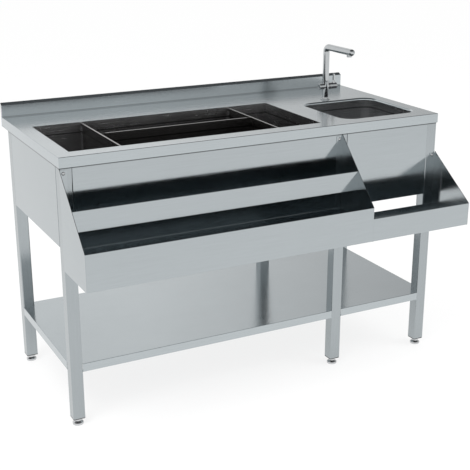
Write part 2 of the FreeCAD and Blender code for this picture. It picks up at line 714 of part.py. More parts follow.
def make_sink_waste():
    """Waste with a rimmed flange above the floor and a threaded tail below its nut."""
    shank = BOWL_SHEET + SEAL_THICKNESS + WASTE_NUT_HEIGHT
    head = turned_in_flats([
        (0, -shank), (WASTE_SHANK_RADIUS, -shank), (WASTE_SHANK_RADIUS, 0),
        (WASTE_FLANGE_RADIUS, 0), (WASTE_FLANGE_RADIUS - 1, WASTE_FLANGE_HEIGHT),
        (0, WASTE_FLANGE_HEIGHT),
    ], ROUND_SIDES, BOWL_X, BOWL_Y, BOWL_FLOOR)
    tail_bottom = BOWL_FLOOR - WASTE_TAIL
    tail = rod(WASTE_RADIUS, V(BOWL_X, BOWL_Y, tail_bottom), V(BOWL_X, BOWL_Y, BOWL_FLOOR - shank))
    bore = round_hole(WASTE_BORE, ROUND_SIDES, BOWL_X, BOWL_Y, tail_bottom - 1, BOWL_FLOOR + 3)
    return head.fuse(tail).cut(bore).removeSplitter()


def make_waste_seal():
    top = BOWL_FLOOR - BOWL_SHEET
    return flat_ring(WASTE_NUT_RADIUS, WASTE_SHANK_RADIUS + 0.2, BOWL_X, BOWL_Y,
                     top - SEAL_THICKNESS, top)


def make_waste_nut():
    top = BOWL_FLOOR - BOWL_SHEET - SEAL_THICKNESS
    return hex_nut(WASTE_NUT_RADIUS, WASTE_SHANK_RADIUS, top - WASTE_NUT_HEIGHT, top,
                   BOWL_X, BOWL_Y)


def make_drain_nut():
    top = FOAM_BOTTOM - SHELL_SHEET
    return hex_nut(DRAIN_NUT_RADIUS, DRAIN_SHANK_RADIUS, top - DRAIN_NUT_HEIGHT, top,
                   DRAIN_X, DRAIN_Y)


# ---------------------------------------------------------------------------
# Tap: single lever on the side of an upright body, with a swivel spout.
# ---------------------------------------------------------------------------
def tap_point(z):
    return V(TAP_X, TAP_Y, z)


def valve_point(x):
    return V(x, TAP_Y, VALVE_Z)


def make_tap_base():
    """Ring with an upright rim and a sloping top, between the worktop and the body."""
    bore = TAP_SHANK_RADIUS / math.cos(math.pi / ROUND_SIDES)
    profile = [(bore, 0), (TAP_BASE_RADIUS, 0), (TAP_BASE_RADIUS, TAP_BASE_RIM),
               (bore + 0.4, TAP_BASE_HEIGHT), (bore, TAP_BASE_HEIGHT)]
    return turned_in_flats(profile, ROUND_SIDES, TAP_X, TAP_Y, DECK_TOP)


def make_tap_body():
    """Upright column and sideways valve housing, in one casting with its shank."""
    top = SPOUT_BOTTOM - SPOUT_REST_GAP
    column = polygon_prism(TAP_RADIUS, TAP_SIDES, TAP_X, TAP_Y, DECK_TOP + TAP_BASE_HEIGHT, top)
    width = VALVE_RIGHT - VALVE_LEFT
    outline = [(0, 0), (VALVE_RADIUS - VALVE_CHAMFER, 0), (VALVE_RADIUS, VALVE_CHAMFER),
               (VALVE_RADIUS, width), (0, width)]
    housing = turned_in_flats(outline, TAP_SIDES, 0, 0, 0)
    shank = polygon_prism(TAP_SHANK_RADIUS, ROUND_SIDES, TAP_X, TAP_Y, SHANK_BOTTOM,
                          DECK_TOP + TAP_BASE_HEIGHT)
    pivot = rod(SPOUT_BORE - SPOUT_PIVOT_GAP, tap_point(top),
                tap_point(SPOUT_BOTTOM + SPOUT_PIVOT_HEIGHT))
    seat = rod(ROTOR_STEM + STUD_CLEARANCE, valve_point(VALVE_RIGHT - ROTOR_SEAT),
               valve_point(VALVE_RIGHT + 1))
    body = column.fuse([laid_along_x(housing, valve_point(VALVE_LEFT)), shank, pivot])
    return body.cut(seat).removeSplitter()


def make_tap_rotor():
    """The cartridge's rotor, which turns in the valve with the handle."""
    return rod(ROTOR_STEM, valve_point(VALVE_RIGHT - ROTOR_SEAT + 0.5),
               valve_point(HANDLE_LEFT + ROTOR_GRIP))


def make_tap_handle():
    """The round handle, bored for its rotor, with a flat spot and a socket for the lever."""
    length = HANDLE_RIGHT - HANDLE_LEFT
    outline = [(0, 0), (HANDLE_RADIUS, 0), (HANDLE_RADIUS, length - HANDLE_CHAMFER),
               (HANDLE_RADIUS - HANDLE_CHAMFER, length), (0, length)]
    body = turned_in_flats(outline, TAP_SIDES, 0, 0, 0)
    body = body.cut(round_hole(ROTOR_STEM, LEVER_SIDES, 0, 0, -1, ROTOR_GRIP))
    handle = laid_along_x(body, valve_point(HANDLE_LEFT))
    spot = polygon_prism(LEVER_FOOT, LEVER_SIDES, LEVER_X, TAP_Y, LEVER_FLAT_Z, LEVER_TOP)
    socket = polygon_prism(LEVER_RADIUS, LEVER_SIDES, LEVER_X, TAP_Y,
                           LEVER_FLAT_Z - LEVER_SEAT, LEVER_FLAT_Z)
    return handle.cut(spot).cut(socket).removeSplitter()


def make_tap_lever():
    """The lever's pin, with a cone that stands on the handle's flat spot."""
    length = LEVER_TOP - LEVER_FLAT_Z
    outline = [(0, -LEVER_SEAT), (LEVER_RADIUS, -LEVER_SEAT), (LEVER_RADIUS, 0), (LEVER_FOOT, 0),
               (LEVER_RADIUS, LEVER_FOOT_HEIGHT), (LEVER_RADIUS, length - LEVER_CHAMFER),
               (LEVER_RADIUS - LEVER_CHAMFER, length), (0, length)]
    return turned_in_flats(outline, LEVER_SIDES, LEVER_X, TAP_Y, LEVER_FLAT_Z)


def make_tap_spout():
    """A bent pipe, up and forwards, with a domed end and a short outlet below it.

    Its two bores are short: one turns on the body's pivot, one holds the aerator.
    """
    centre = V(TAP_X, TAP_Y - SPOUT_BEND, SPOUT_AXIS_Z - SPOUT_BEND)
    low = polygon_corners(SPOUT_RADIUS, TAP_SIDES, TAP_X, TAP_Y, SPOUT_BOTTOM)
    start = polygon_corners(SPOUT_RADIUS, TAP_SIDES, TAP_X, TAP_Y, centre.z)
    rings = [low]
    for step in range(SPOUT_BEND_STEPS + 1):
        turn = FreeCAD.Rotation(V(1, 0, 0), 90 * step / SPOUT_BEND_STEPS)
        rings.append([centre + turn.multVec(corner - centre) for corner in start])
    for angle in (0, 30, 60):
        scale = math.cos(math.radians(angle))
        ahead = centre.y - SPOUT_END_Y + SPOUT_RADIUS * math.sin(math.radians(angle))
        rings.append([V(TAP_X + (corner.x - TAP_X) * scale, corner.y - ahead,
                        SPOUT_AXIS_Z + (corner.z - SPOUT_AXIS_Z) * scale)
                      for corner in rings[SPOUT_BEND_STEPS + 1]])
    outlet = polygon_prism(OUTLET_RADIUS, TAP_SIDES, TAP_X, OUTLET_Y, OUTLET_BOTTOM, SPOUT_AXIS_Z)
    pivot_bore = rod(SPOUT_BORE, tap_point(SPOUT_BOTTOM - 1),
                     tap_point(SPOUT_BOTTOM + SPOUT_PIVOT_HEIGHT + 1))
    outlet_bore = round_hole(OUTLET_BORE, ROUND_SIDES, TAP_X, OUTLET_Y, OUTLET_BOTTOM - 1,
                             OUTLET_BOTTOM + AERATOR_SLEEVE + 1)
    return skin(rings).fuse(outlet).cut(pivot_bore).cut(outlet_bore).removeSplitter()


def make_tap_aerator():
    """The outlet's insert: a collar, a sleeve in the outlet and a six-sided waterway."""
    collar = OUTLET_BOTTOM - AERATOR_BOTTOM
    profile = [(0, 0), (OUTLET_RADIUS, 0), (OUTLET_RADIUS, collar), (OUTLET_BORE, collar),
               (OUTLET_BORE, collar + AERATOR_SLEEVE), (0, collar + AERATOR_SLEEVE)]
    aerator = turned_in_flats(profile, ROUND_SIDES, TAP_X, OUTLET_Y, AERATOR_BOTTOM)
    return aerator.cut(polygon_prism(AERATOR_WATERWAY, 6, TAP_X, OUTLET_Y, AERATOR_BOTTOM - 1,
                                     OUTLET_BOTTOM + AERATOR_SLEEVE + 1))


def make_tap_washer():
    return flat_ring(TAP_NUT_RADIUS, TAP_SHANK_RADIUS, TAP_X, TAP_Y,
                     DECK_UNDER - SEAL_THICKNESS, DECK_UNDER)


def make_tap_nut():
    top = DECK_UNDER - SEAL_THICKNESS
    return hex_nut(TAP_NUT_RADIUS, TAP_SHANK_RADIUS, top - TAP_NUT_HEIGHT, top, TAP_X, TAP_Y)


def make_tap_inlets():
    """Hot and cold inlet nipples below the shank, each with a six-sided key bore."""
    pieces = []
    low = SHANK_BOTTOM - INLET_LENGTH
    for side in (-1, 1):
        x = TAP_X + side * INLET_SPACING / 2
        nipple = rod(INLET_RADIUS, V(x, TAP_Y, low), V(x, TAP_Y, SHANK_BOTTOM))
        pieces.append(nipple.cut(polygon_prism(INLET_BORE, 6, x, TAP_Y, low, SHANK_BOTTOM)))
    return Part.Compound(pieces)


# ---------------------------------------------------------------------------
# Frame: legs, end inserts, levelling feet, panels, channels and shelf.
# ---------------------------------------------------------------------------
def make_leg(x, y, screw_heights):
    outer = rounded_block(x, x + LEG, y, y + LEG, LEG_RADIUS, LEG_STEPS, LEG_BOTTOM, DECK_UNDER)
    inner = block(x + LEG_WALL, x + LEG - LEG_WALL, y + LEG_WALL, y + LEG - LEG_WALL,
                  LEG_BOTTOM - 1, DECK_UNDER + 1)
    leg = outer.cut(inner)
    for sx, sz in screw_heights:
        leg = leg.cut(screw_hole(sx, sz))
    return leg


def make_leg_inserts():
    """Plastic plugs in the tubes' ends, with the foot's threaded hole."""
    plugs = []
    low, high = LEG_BOTTOM - INSERT_FLANGE, LEG_BOTTOM + INSERT_DEPTH
    wall = LEG_WALL
    for x, y in LEGS.values():
        flange = rounded_block(x, x + LEG, y, y + LEG, LEG_RADIUS, 1, low, LEG_BOTTOM)
        plug = block(x + wall, x + LEG - wall, y + wall, y + LEG - wall, LEG_BOTTOM, high)
        hole = round_hole(FOOT_STUD + STUD_CLEARANCE, FOOT_SIDES, x + LEG / 2, y + LEG / 2,
                          low - 1, high + 1)
        plugs.append(flange.fuse(plug).cut(hole).removeSplitter())
    return Part.Compound(plugs)


def make_foot(x, y):
    """A foot with grip flats: pad, cone, neck and stud, all one piece."""
    neck_top = LEG_BOTTOM - INSERT_FLANGE - FOOT_GAP
    stud_top = LEG_BOTTOM + INSERT_DEPTH - 4
    profile = [
        (0, 0), (FOOT_RADIUS, 0), (FOOT_RADIUS, FOOT_RIM), (FOOT_NECK, FOOT_CONE_TOP),
        (FOOT_NECK, neck_top), (FOOT_STUD, neck_top), (FOOT_STUD, stud_top), (0, stud_top),
    ]
    return turned_in_flats(profile, FOOT_SIDES, x + LEG / 2, y + LEG / 2, 0)


def make_apron(x0, x1, bottom):
    """A front panel between two legs, with a return along its lower edge."""
    face_y = LEG_FRONT
    outline = [(face_y, DECK_UNDER), (face_y, bottom), (face_y + PANEL_RETURN, bottom)]
    return folded_sheet_x(outline, THIN_SHEET, x0, x1)


def turned_to_side(shape, x_face, y_start, outward):
    """Turn a panel made along X so that it stands along Y, its face at x_face."""
    turned = shape.copy()
    turned.rotate(V(0, 0, 0), V(0, 0, 1), -90 * outward)
    box = turned.BoundBox
    x_now = box.XMin if outward > 0 else box.XMax
    turned.translate(V(x_face - x_now, y_start - box.YMin, 0))
    return turned


def make_side_panel(left):
    """An end panel between the front and the rear leg."""
    width = LEG_BACK - LEG_FRONT - LEG
    flat = make_apron(0, width, PANEL_BOTTOM)
    if left:
        return turned_to_side(flat, LEG_LEFT, LEG_FRONT + LEG, 1)
    return turned_to_side(flat, LENGTH - LEG_SIDE_INSET, LEG_FRONT + LEG, -1)


def make_channel_x(x0, x1, y0, z0, height, width):
    """A C channel along X, open towards the front."""
    outline = [(y0, z0 + height), (y0 + width, z0 + height), (y0 + width, z0), (y0, z0)]
    return folded_sheet_x(outline[::-1], THIN_SHEET, x0, x1)


def make_rear_rail(x0, x1):
    return make_channel_x(x0, x1, LEG_BACK + 8, DECK_UNDER - CHANNEL_HEIGHT, CHANNEL_HEIGHT,
                          CHANNEL_WIDTH)


def make_cross_rail():
    """A C channel from the front middle leg to the rear one."""
    flat = make_channel_x(0, LEG_BACK - LEG_FRONT - LEG, 0, DECK_UNDER - CHANNEL_HEIGHT,
                          CHANNEL_HEIGHT, CHANNEL_WIDTH)
    return turned_to_side(flat, LEG_MIDDLE - CHANNEL_WIDTH / 2, LEG_FRONT + LEG, 1)


def make_shelf():
    """The lower shelf: a tray turned down, notched round the six legs."""
    x0, x1 = LEG_LEFT, LENGTH - LEG_SIDE_INSET
    y0, y1 = LEG_FRONT, LEG_BACK_FACE
    outer = block(x0, x1, y0, y1, SHELF_TOP - SHELF_LIP, SHELF_TOP)
    rim = edges_where(outer, lambda c, b: c.z > SHELF_TOP - 0.01)
    outer = outer.makeFillet(1.5, rim)
    t = THIN_SHEET
    inner = block(x0 + t, x1 - t, y0 + t, y1 - t, SHELF_TOP - SHELF_LIP - 1, SHELF_TOP - t)
    tray = outer.cut(inner)
    low = SHELF_TOP - SHELF_LIP
    hem = block(x0 + t, x1 - t, y0 + t, y1 - t, low, low + t)
    inside = SHELF_INSIDE_HEM
    hem = hem.cut(block(x0 + inside, x1 - inside, y0 + inside, y1 - inside, low - 1, low + 2))
    tray = tray.fuse(hem)
    for x, y in LEGS.values():
        tray = tray.cut(notch(x, y, low))
    return tray.removeSplitter()


def notch(x, y, low):
    """The cut-out of the shelf at one leg, run out past the shelf's edge."""
    x0 = x - (2 if x == LEG_LEFT else 0)
    x1 = x + LEG + (2 if x == LEG_RIGHT else 0)
    y0 = y - (2 if y == LEG_FRONT else 0)
    y1 = y + LEG + (2 if y == LEG_BACK else 0)
    return block(x0, x1, y0, y1, low - 1, SHELF_TOP + 1)


def make_shelf_stiffeners():
    """Two hat channels that stiffen the shelf from below."""
    hats = []
    top = SHELF_TOP - THIN_SHEET
    low = top - STIFFENER_DEPTH
    for y in (LEG_FRONT + STIFFENER_INSET, LEG_BACK_FACE - STIFFENER_INSET):
        outline = [(y - 42, top), (y - 24, top), (y - 20, low), (y + 20, low),
                   (y + 24, top), (y + 42, top)]
        under = offset_left(outline, -THIN_SHEET)
        hats.append(prism_x(outline + under[::-1], LEG_LEFT + 14, LENGTH - LEG_SIDE_INSET - 14))
    return Part.Compound(hats)


# ---------------------------------------------------------------------------
# Bottle rails on the front: side plates, troughs and their screws.
# ---------------------------------------------------------------------------
def screw_hole(x, z):
    drill = round_hole(SCREW_RADIUS + HOLE_CLEARANCE, HOLE_SIDES, 0, 0, 0, LEG)
    return laid_along_y(drill, V(x, LEG_FRONT - LEG / 2, z))


def make_plate(x_outer, inward, top, lip_top, screw):
    """A side plate with a sloping front edge and a flange against the leg."""
    x_inner = x_outer + inward * SHEET
    x_flange = x_outer + inward * RAIL_FLANGE
    outline = [(LEG_FRONT, top), (-RAIL_REACH, lip_top), (-RAIL_REACH, RAIL_BOTTOM),
               (LEG_FRONT, RAIL_BOTTOM)]
    web = prism_x(outline, min(x_outer, x_inner), max(x_outer, x_inner))
    flange = block(min(x_outer, x_flange), max(x_outer, x_flange), LEG_FRONT - SHEET, LEG_FRONT,
                   RAIL_BOTTOM, top - 6)
    return web.fuse(flange).cut(screw_hole(*screw)).removeSplitter()


def make_trough(x0, x1, reach, floor, lip_top, back_top):
    """A bottle trough: back lip, floor and a front lip with a folded hem."""
    back = LEG_FRONT - SHEET
    outline = [(back, back_top), (back, floor), (-reach, floor), (-reach, lip_top - HEM_WIDTH / 2)]
    trough = folded_sheet_x(outline, -THIN_SHEET, x0, x1)
    return trough.fuse(hem_x(-reach, 1, lip_top, x0, x1)).removeSplitter()


def make_screw(x, z):
    """A screw with a crowned head, through a rail's flange into its leg."""
    outline = [(0, -SCREW_HEAD_HEIGHT), (SCREW_CROWN_RADIUS, -SCREW_HEAD_HEIGHT),
               (SCREW_HEAD_RADIUS, 0), (SCREW_RADIUS, 0), (SCREW_RADIUS, SCREW_LENGTH),
               (0, SCREW_LENGTH)]
    screw = turned_in_flats(outline, HOLE_SIDES, 0, 0, 0)
    return laid_along_y(screw, V(x, LEG_FRONT - SHEET, z))


PLATE_SCREWS = {
    "rail_plate_left": (SCREW_INSET, TALL_SCREW_Z),
    "rail_plate_middle_left": (LEG_MIDDLE - SCREW_INSET, TALL_SCREW_Z),
    "rail_plate_middle_right": (LEG_MIDDLE + SCREW_INSET, LOW_SCREW_Z),
    "rail_plate_right": (LENGTH - SCREW_INSET, LOW_SCREW_Z),
}


# ---------------------------------------------------------------------------
# Build and write every piece.
# ---------------------------------------------------------------------------
def main():
    os.makedirs("parts", exist_ok=True)

    export("worktop", make_worktop())

    export("ice_bin_liner", make_bin_liner())
    export("ice_bin_foam", make_bin_foam())
    export("ice_bin_casing", make_bin_casing())
    export("ice_bin_drain", make_bin_drain())
    export("ice_bin_drain_nut", make_drain_nut())
    export("ice_bin_strainer", make_strainer(DRAIN_X, DRAIN_Y, BIN_FLOOR + 2.3, 22,
                                             DRAIN_BORE - 0.5, 2.0))
    export("divider_left", make_cross_divider(DIVIDER_LEFT_X))
    export("divider_left_strips", make_divider_strips(DIVIDER_LEFT_X, 1))
    export("divider_right", make_cross_divider(DIVIDER_RIGHT_X))
    export("divider_right_strips", make_divider_strips(DIVIDER_RIGHT_X, -1))
    export("divider_middle", make_middle_divider())
    export("divider_guides", make_divider_guides())

    export("bowl_surround", make_bowl_surround())
    export("sink_bowl", make_sink_bowl())
    export("sink_waste", make_sink_waste())
    export("sink_waste_seal", make_waste_seal())
    export("sink_waste_nut", make_waste_nut())
    export("sink_strainer", make_strainer(BOWL_X, BOWL_Y, BOWL_FLOOR + 2.0, 30,
                                          WASTE_BORE - 0.5, 2.4))

    export("tap_base_ring", make_tap_base())
    export("tap_body", make_tap_body())
    export("tap_rotor", make_tap_rotor())
    export("tap_handle", make_tap_handle())
    export("tap_lever", make_tap_lever())
    export("tap_spout", make_tap_spout())
    export("tap_aerator", make_tap_aerator())
    export("tap_washer", make_tap_washer())
    export("tap_nut", make_tap_nut())
    export("tap_inlets", make_tap_inlets())

    for place, (x, y) in LEGS.items():
        drilled = [s for s in PLATE_SCREWS.values() if y == LEG_FRONT and x < s[0] < x + LEG]
        export("leg_" + place, make_leg(x, y, drilled))
        export("foot_" + place, make_foot(x, y))
    export("leg_inserts", make_leg_inserts())

    export("apron_left", make_apron(LEG_LEFT + LEG, LEG_MIDDLE_LEFT, TALL_APRON_BOTTOM))
    export("apron_right", make_apron(LEG_MIDDLE_LEFT + LEG, LEG_RIGHT, PANEL_BOTTOM))
    export("side_panel_left", make_side_panel(True))
    export("side_panel_right", make_side_panel(False))
    export("rear_rail_left", make_rear_rail(LEG_LEFT + LEG, LEG_MIDDLE_LEFT))
    export("rear_rail_right", make_rear_rail(LEG_MIDDLE_LEFT + LEG, LEG_RIGHT))
    export("cross_rail", make_cross_rail())
    export("lower_shelf", make_shelf())
    export("shelf_stiffeners", make_shelf_stiffeners())

    plates = {
        "rail_plate_left": (0.0, 1, TALL_PLATE_TOP, TALL_LIP_TOP),
        "rail_plate_middle_left": (LEG_MIDDLE, -1, TALL_PLATE_TOP, TALL_LIP_TOP),
        "rail_plate_middle_right": (LEG_MIDDLE, 1, LOW_PLATE_TOP, LOW_LIP_TOP),
        "rail_plate_right": (LENGTH, -1, LOW_PLATE_TOP, LOW_LIP_TOP),
    }
    for name, (x_outer, inward, top, lip_top) in plates.items():
        export(name, make_plate(x_outer, inward, top, lip_top, PLATE_SCREWS[name]))
    left_ends = (SHEET, LEG_MIDDLE - SHEET)
    right_ends = (LEG_MIDDLE + SHEET, LENGTH - SHEET)
    export("trough_upper", make_trough(*left_ends, UPPER_LIP_REACH, UPPER_TROUGH_BOTTOM,
                                       UPPER_LIP_TOP, UPPER_BACK_LIP))
    export("trough_lower", make_trough(*left_ends, RAIL_REACH, RAIL_BOTTOM, TALL_LIP_TOP,
                                       TALL_BACK_LIP))
    export("trough_right", make_trough(*right_ends, RAIL_REACH, RAIL_BOTTOM, LOW_LIP_TOP,
                                       LOW_BACK_LIP))
    export("rail_screws", Part.Compound([make_screw(x, z) for x, z in PLATE_SCREWS.values()]))


main()
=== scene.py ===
import math

import bmesh
import bpy
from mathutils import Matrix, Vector


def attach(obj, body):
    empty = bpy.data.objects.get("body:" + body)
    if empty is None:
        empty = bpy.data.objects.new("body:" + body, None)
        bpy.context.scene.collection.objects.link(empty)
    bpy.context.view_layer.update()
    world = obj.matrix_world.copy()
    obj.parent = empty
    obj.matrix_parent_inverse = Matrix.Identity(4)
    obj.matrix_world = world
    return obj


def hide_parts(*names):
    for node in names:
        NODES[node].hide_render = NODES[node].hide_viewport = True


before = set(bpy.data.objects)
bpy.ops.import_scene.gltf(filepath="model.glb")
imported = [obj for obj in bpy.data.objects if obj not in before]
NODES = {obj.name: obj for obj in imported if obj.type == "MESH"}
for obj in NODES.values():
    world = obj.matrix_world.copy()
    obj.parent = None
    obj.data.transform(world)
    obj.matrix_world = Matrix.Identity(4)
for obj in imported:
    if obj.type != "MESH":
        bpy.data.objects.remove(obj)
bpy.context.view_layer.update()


# ---------------------------------------------------------------------------
# Small helpers for building node materials.
# ---------------------------------------------------------------------------
class Tree:
    """A node tree with short calls for adding and linking nodes."""

    def __init__(self, tree):
        self.tree = tree
        self.tree.nodes.clear()

    def link(self, source, target):
        self.tree.links.new(source, target)

    def math(self, operation, a, b=None, clamp=False):
        node = self.tree.nodes.new("ShaderNodeMath")
        node.operation = operation
        node.use_clamp = clamp
        for index, value in enumerate((a, b)):
            if value is None:
                continue
            if isinstance(value, (int, float)):
                node.inputs[index].default_value = value
            else:
                self.link(value, node.inputs[index])
        return node.outputs[0]

    def position(self):
        """Object coordinates: for every piece these are the part's own frame."""
        return self.tree.nodes.new("ShaderNodeTexCoord").outputs["Object"]

    def noise(self, vector, scale, stretch=(1, 1, 1), detail=2.0, rough=0.5, shift=0.0):
        mapping = self.tree.nodes.new("ShaderNodeMapping")
        mapping.inputs["Scale"].default_value = [scale * s for s in stretch]
        mapping.inputs["Location"].default_value = [shift, shift * 0.7, shift * 1.3]
        self.link(vector, mapping.inputs["Vector"])
        noise = self.tree.nodes.new("ShaderNodeTexNoise")
        noise.inputs["Scale"].default_value = 1.0
        noise.inputs["Detail"].default_value = detail
        noise.inputs["Roughness"].default_value = rough
        self.link(mapping.outputs[0], noise.inputs["Vector"])
        return noise.outputs["Fac"]

    def span(self, value, low, high, from_low=0.3, from_high=0.7):
        """Map a noise value onto low..high."""
        node = self.tree.nodes.new("ShaderNodeMapRange")
        node.inputs["From Min"].default_value = from_low
        node.inputs["From Max"].default_value = from_high
        node.inputs["To Min"].default_value = low
        node.inputs["To Max"].default_value = high
        self.link(value, node.inputs["Value"])
        return node.outputs[0]

    def tint(self, factor, dark, light):
        ramp = self.tree.nodes.new("ShaderNodeMix")
        ramp.data_type = "RGBA"
        ramp.inputs["A"].default_value = (*dark, 1)
        ramp.inputs["B"].default_value = (*light, 1)
        self.link(factor, ramp.inputs["Factor"])
        return ramp.outputs["Result"]

    def bump(self, height, strength, distance):
        node = self.tree.nodes.new("ShaderNodeBump")
        node.inputs["Strength"].default_value = strength
        node.inputs["Distance"].default_value = distance
        self.link(height, node.inputs["Height"])
        return node.outputs["Normal"]

    def seam(self, color, place, low, high, strength):
        """Paint shade onto color between two heights of place: the shadow under a fold or a drip
        edge.
        """
        split = self.tree.nodes.new("ShaderNodeSeparateXYZ")
        self.link(place, split.inputs[0])
        above = self.math("GREATER_THAN", split.outputs["Z"], low)
        below = self.math("LESS_THAN", split.outputs["Z"], high)
        mix = self.tree.nodes.new("ShaderNodeMix")
        mix.data_type = "RGBA"
        mix.inputs["B"].default_value = (0.02, 0.02, 0.02, 1)
        self.link(self.math("MULTIPLY", self.math("MULTIPLY", above, below), strength),
                  mix.inputs["Factor"])
        self.link(color, mix.inputs["A"])
        return mix.outputs["Result"]

    def constant_vector(self, vector):
        node = self.tree.nodes.new("ShaderNodeCombineXYZ")
        for index, value in enumerate(vector):
            node.inputs[index].default_value = value
        return node.outputs[0]


def new_material(name):
    material = bpy.data.materials.new(name)
    material.use_nodes = True
    tree = Tree(material.node_tree)
    shader = tree.tree.nodes.new("ShaderNodeBsdfPrincipled")
    output = tree.tree.nodes.new("ShaderNodeOutputMaterial")
    tree.link(shader.outputs[0], output.inputs["Surface"])
    return material, tree, shader


def scaled(color, factor):
    return tuple(min(c * factor, 1.0) for c in color)


DRIP_SHADOW = (0.8630, 0.8672)   # heights of the painted shadow line under the worktop's drip edge
FOLD_SHADE = (0.9004, 0.9036)     # heights of the painted shade in the crease where the upstand is folded up


def steel(name, base, roughness, grain, across, anisotropic=0.45, contrast=1.0):
    """Brushed stainless steel.

    grain is the direction of the brushing, across the direction in which it blurs
    reflections. Long fine lines vary the tone and the roughness, and a slow cloud
    and a few wiped marks keep a large sheet from looking even.
    """
    material, tree, shader = new_material(name)
    place = tree.position()
    fine = tuple(0.006 if g else 1.0 for g in grain)
    broad = tuple(0.02 if g else 1.0 for g in grain)
    lines = tree.noise(place, 2600, fine, detail=3.0, rough=0.65)
    bands = tree.noise(place, 240, broad, detail=3.0, rough=0.6, shift=3.1)
    cloud = tree.noise(place, 3.2, detail=3.0, shift=7.7)
    wiped = tree.noise(place, 14.0, (1, 1, 1), detail=4.0, rough=0.62, shift=1.9)
    tone = tree.math("ADD", tree.math("MULTIPLY", lines, 0.5), tree.math("MULTIPLY", bands, 0.3))
    tone = tree.math("ADD", tone, tree.math("MULTIPLY", cloud, 0.2))
    color = tree.tint(tree.span(tone, 0, 1, 0.36, 0.64),
                      scaled(base, 1 - 0.055 * contrast), scaled(base, 1 + 0.045 * contrast))
    # painted shadow under the worktop's drip edge
    color = tree.seam(color, place, *DRIP_SHADOW, 0.7)
    # painted shade in the crease at the upstand's foot
    color = tree.seam(color, place, *FOLD_SHADE, 0.35)
    tree.link(color, shader.inputs["Base Color"])
    gloss = tree.math("ADD", tree.math("MULTIPLY", bands, 0.6), tree.math("MULTIPLY", wiped, 0.4))
    tree.link(tree.span(gloss, roughness - 0.03, roughness + 0.05), shader.inputs["Roughness"])
    tree.link(tree.bump(lines, 0.06, 0.0004), shader.inputs["Normal"])
    shader.inputs["Metallic"].default_value = 1.0
    shader.inputs["Anisotropic"].default_value = anisotropic
    tree.link(tree.constant_vector(across), shader.inputs["Tangent"])
    return material


def polished(name, base, roughness, cloud_size=60.0):
    """Chrome or polished steel, with a faint film of wiped marks."""
    material, tree, shader = new_material(name)
    place = tree.position()
    film = tree.noise(place, cloud_size, detail=4.0, rough=0.6)
    specks = tree.noise(place, 900.0, detail=2.0, shift=5.0)
    tree.link(tree.tint(tree.span(film, 0, 1), scaled(base, 0.95), scaled(base, 1.02)),
              shader.inputs["Base Color"])
    tree.link(tree.span(film, roughness, roughness + 0.05), shader.inputs["Roughness"])
    tree.link(tree.bump(specks, 0.02, 0.0002), shader.inputs["Normal"])
    shader.inputs["Metallic"].default_value = 1.0
    return material


def moulded(name, base, roughness, grain_size=1800.0, wear=0.35):
    """Moulded plastic or rubber: fine pitting, uneven gloss and dusty patches."""
    material, tree, shader = new_material(name)
    place = tree.position()
    pits = tree.noise(place, grain_size, detail=3.0, rough=0.6)
    dust = tree.noise(place, 70.0, detail=4.0, rough=0.6, shift=2.0)
    tree.link(tree.tint(tree.span(dust, 0, 1, 0.4, 0.75), base,
                        tuple(c + (0.25 - c) * wear for c in base)), shader.inputs["Base Color"])
    tree.link(tree.span(dust, roughness - 0.06, roughness + 0.12), shader.inputs["Roughness"])
    tree.link(tree.bump(pits, 0.25, 0.0003), shader.inputs["Normal"])
    return material


def foam_material(name, base):
    """Cut foam: open cells and a yellowed skin."""
    material, tree, shader = new_material(name)
    place = tree.position()
    cells = tree.noise(place, 700.0, detail=4.0, rough=0.7)
    skin = tree.noise(place, 12.0, detail=3.0, shift=4.0)
    tree.link(tree.tint(tree.span(skin, 0, 1), scaled(base, 0.86), scaled(base, 1.06)),
              shader.inputs["Base Color"])
    tree.link(tree.bump(cells, 0.7, 0.001), shader.inputs["Normal"])
    shader.inputs["Roughness"].default_value = 0.9
    return material


# ---------------------------------------------------------------------------
# Materials.
# ---------------------------------------------------------------------------
STEEL_TONE = (0.425, 0.460, 0.475)
ALONG_X, ALONG_Y, ALONG_Z = (1, 0, 0), (0, 1, 0), (0, 0, 1)

MATERIALS = {
    "deck": steel("steel_deck", scaled(STEEL_TONE, 1.08), 0.17, ALONG_X, (0, 1, 1)),
    "front": steel("steel_front", scaled(STEEL_TONE, 0.97), 0.09, ALONG_X, (0, 1, 1), 0.3),
    "side": steel("steel_side", scaled(STEEL_TONE, 0.95), 0.17, ALONG_Y, (1, 0, 1)),
    "leg": steel("steel_leg", scaled(STEEL_TONE, 0.90), 0.17, ALONG_Z, (1, 1, 0)),
    # the bowl's base colour is raised above the other steel: painted light, standing in for light
    # bouncing inside the bowl
    "bowl": steel("steel_bowl", (0.660, 0.665, 0.670), 0.16, ALONG_Z, (1, 1, 0)),
    # the ice bin's base colour is raised like the bowl's: painted light inside the bin
    "bin": steel("steel_bin", (0.635, 0.635, 0.640), 0.24, ALONG_X, (0, 1, 1), 0.2, 0.5),
    # the dividers' dark base colour is painted shade for the inside of the ice bin
    "divider": steel("steel_divider", (0.22, 0.215, 0.21), 0.22, ALONG_Y, (1, 0, 1)),
    "casing": steel("steel_casing", scaled(STEEL_TONE, 0.9), 0.30, ALONG_X, (0, 1, 1), 0.2, 2.0),
    "bright": polished("steel_bright", (0.60, 0.61, 0.62), 0.14),
    "chrome": polished("chrome_polished", (0.50, 0.52, 0.53), 0.04),
    "brass": polished("brass_turned", (0.60, 0.43, 0.18), 0.22),
    "rubber": moulded("rubber_black", (0.022, 0.022, 0.023), 0.62),
    "plastic": moulded("plastic_black", (0.028, 0.028, 0.031), 0.45),
    "foam": foam_material("foam_cut", (0.78, 0.70, 0.48)),
}

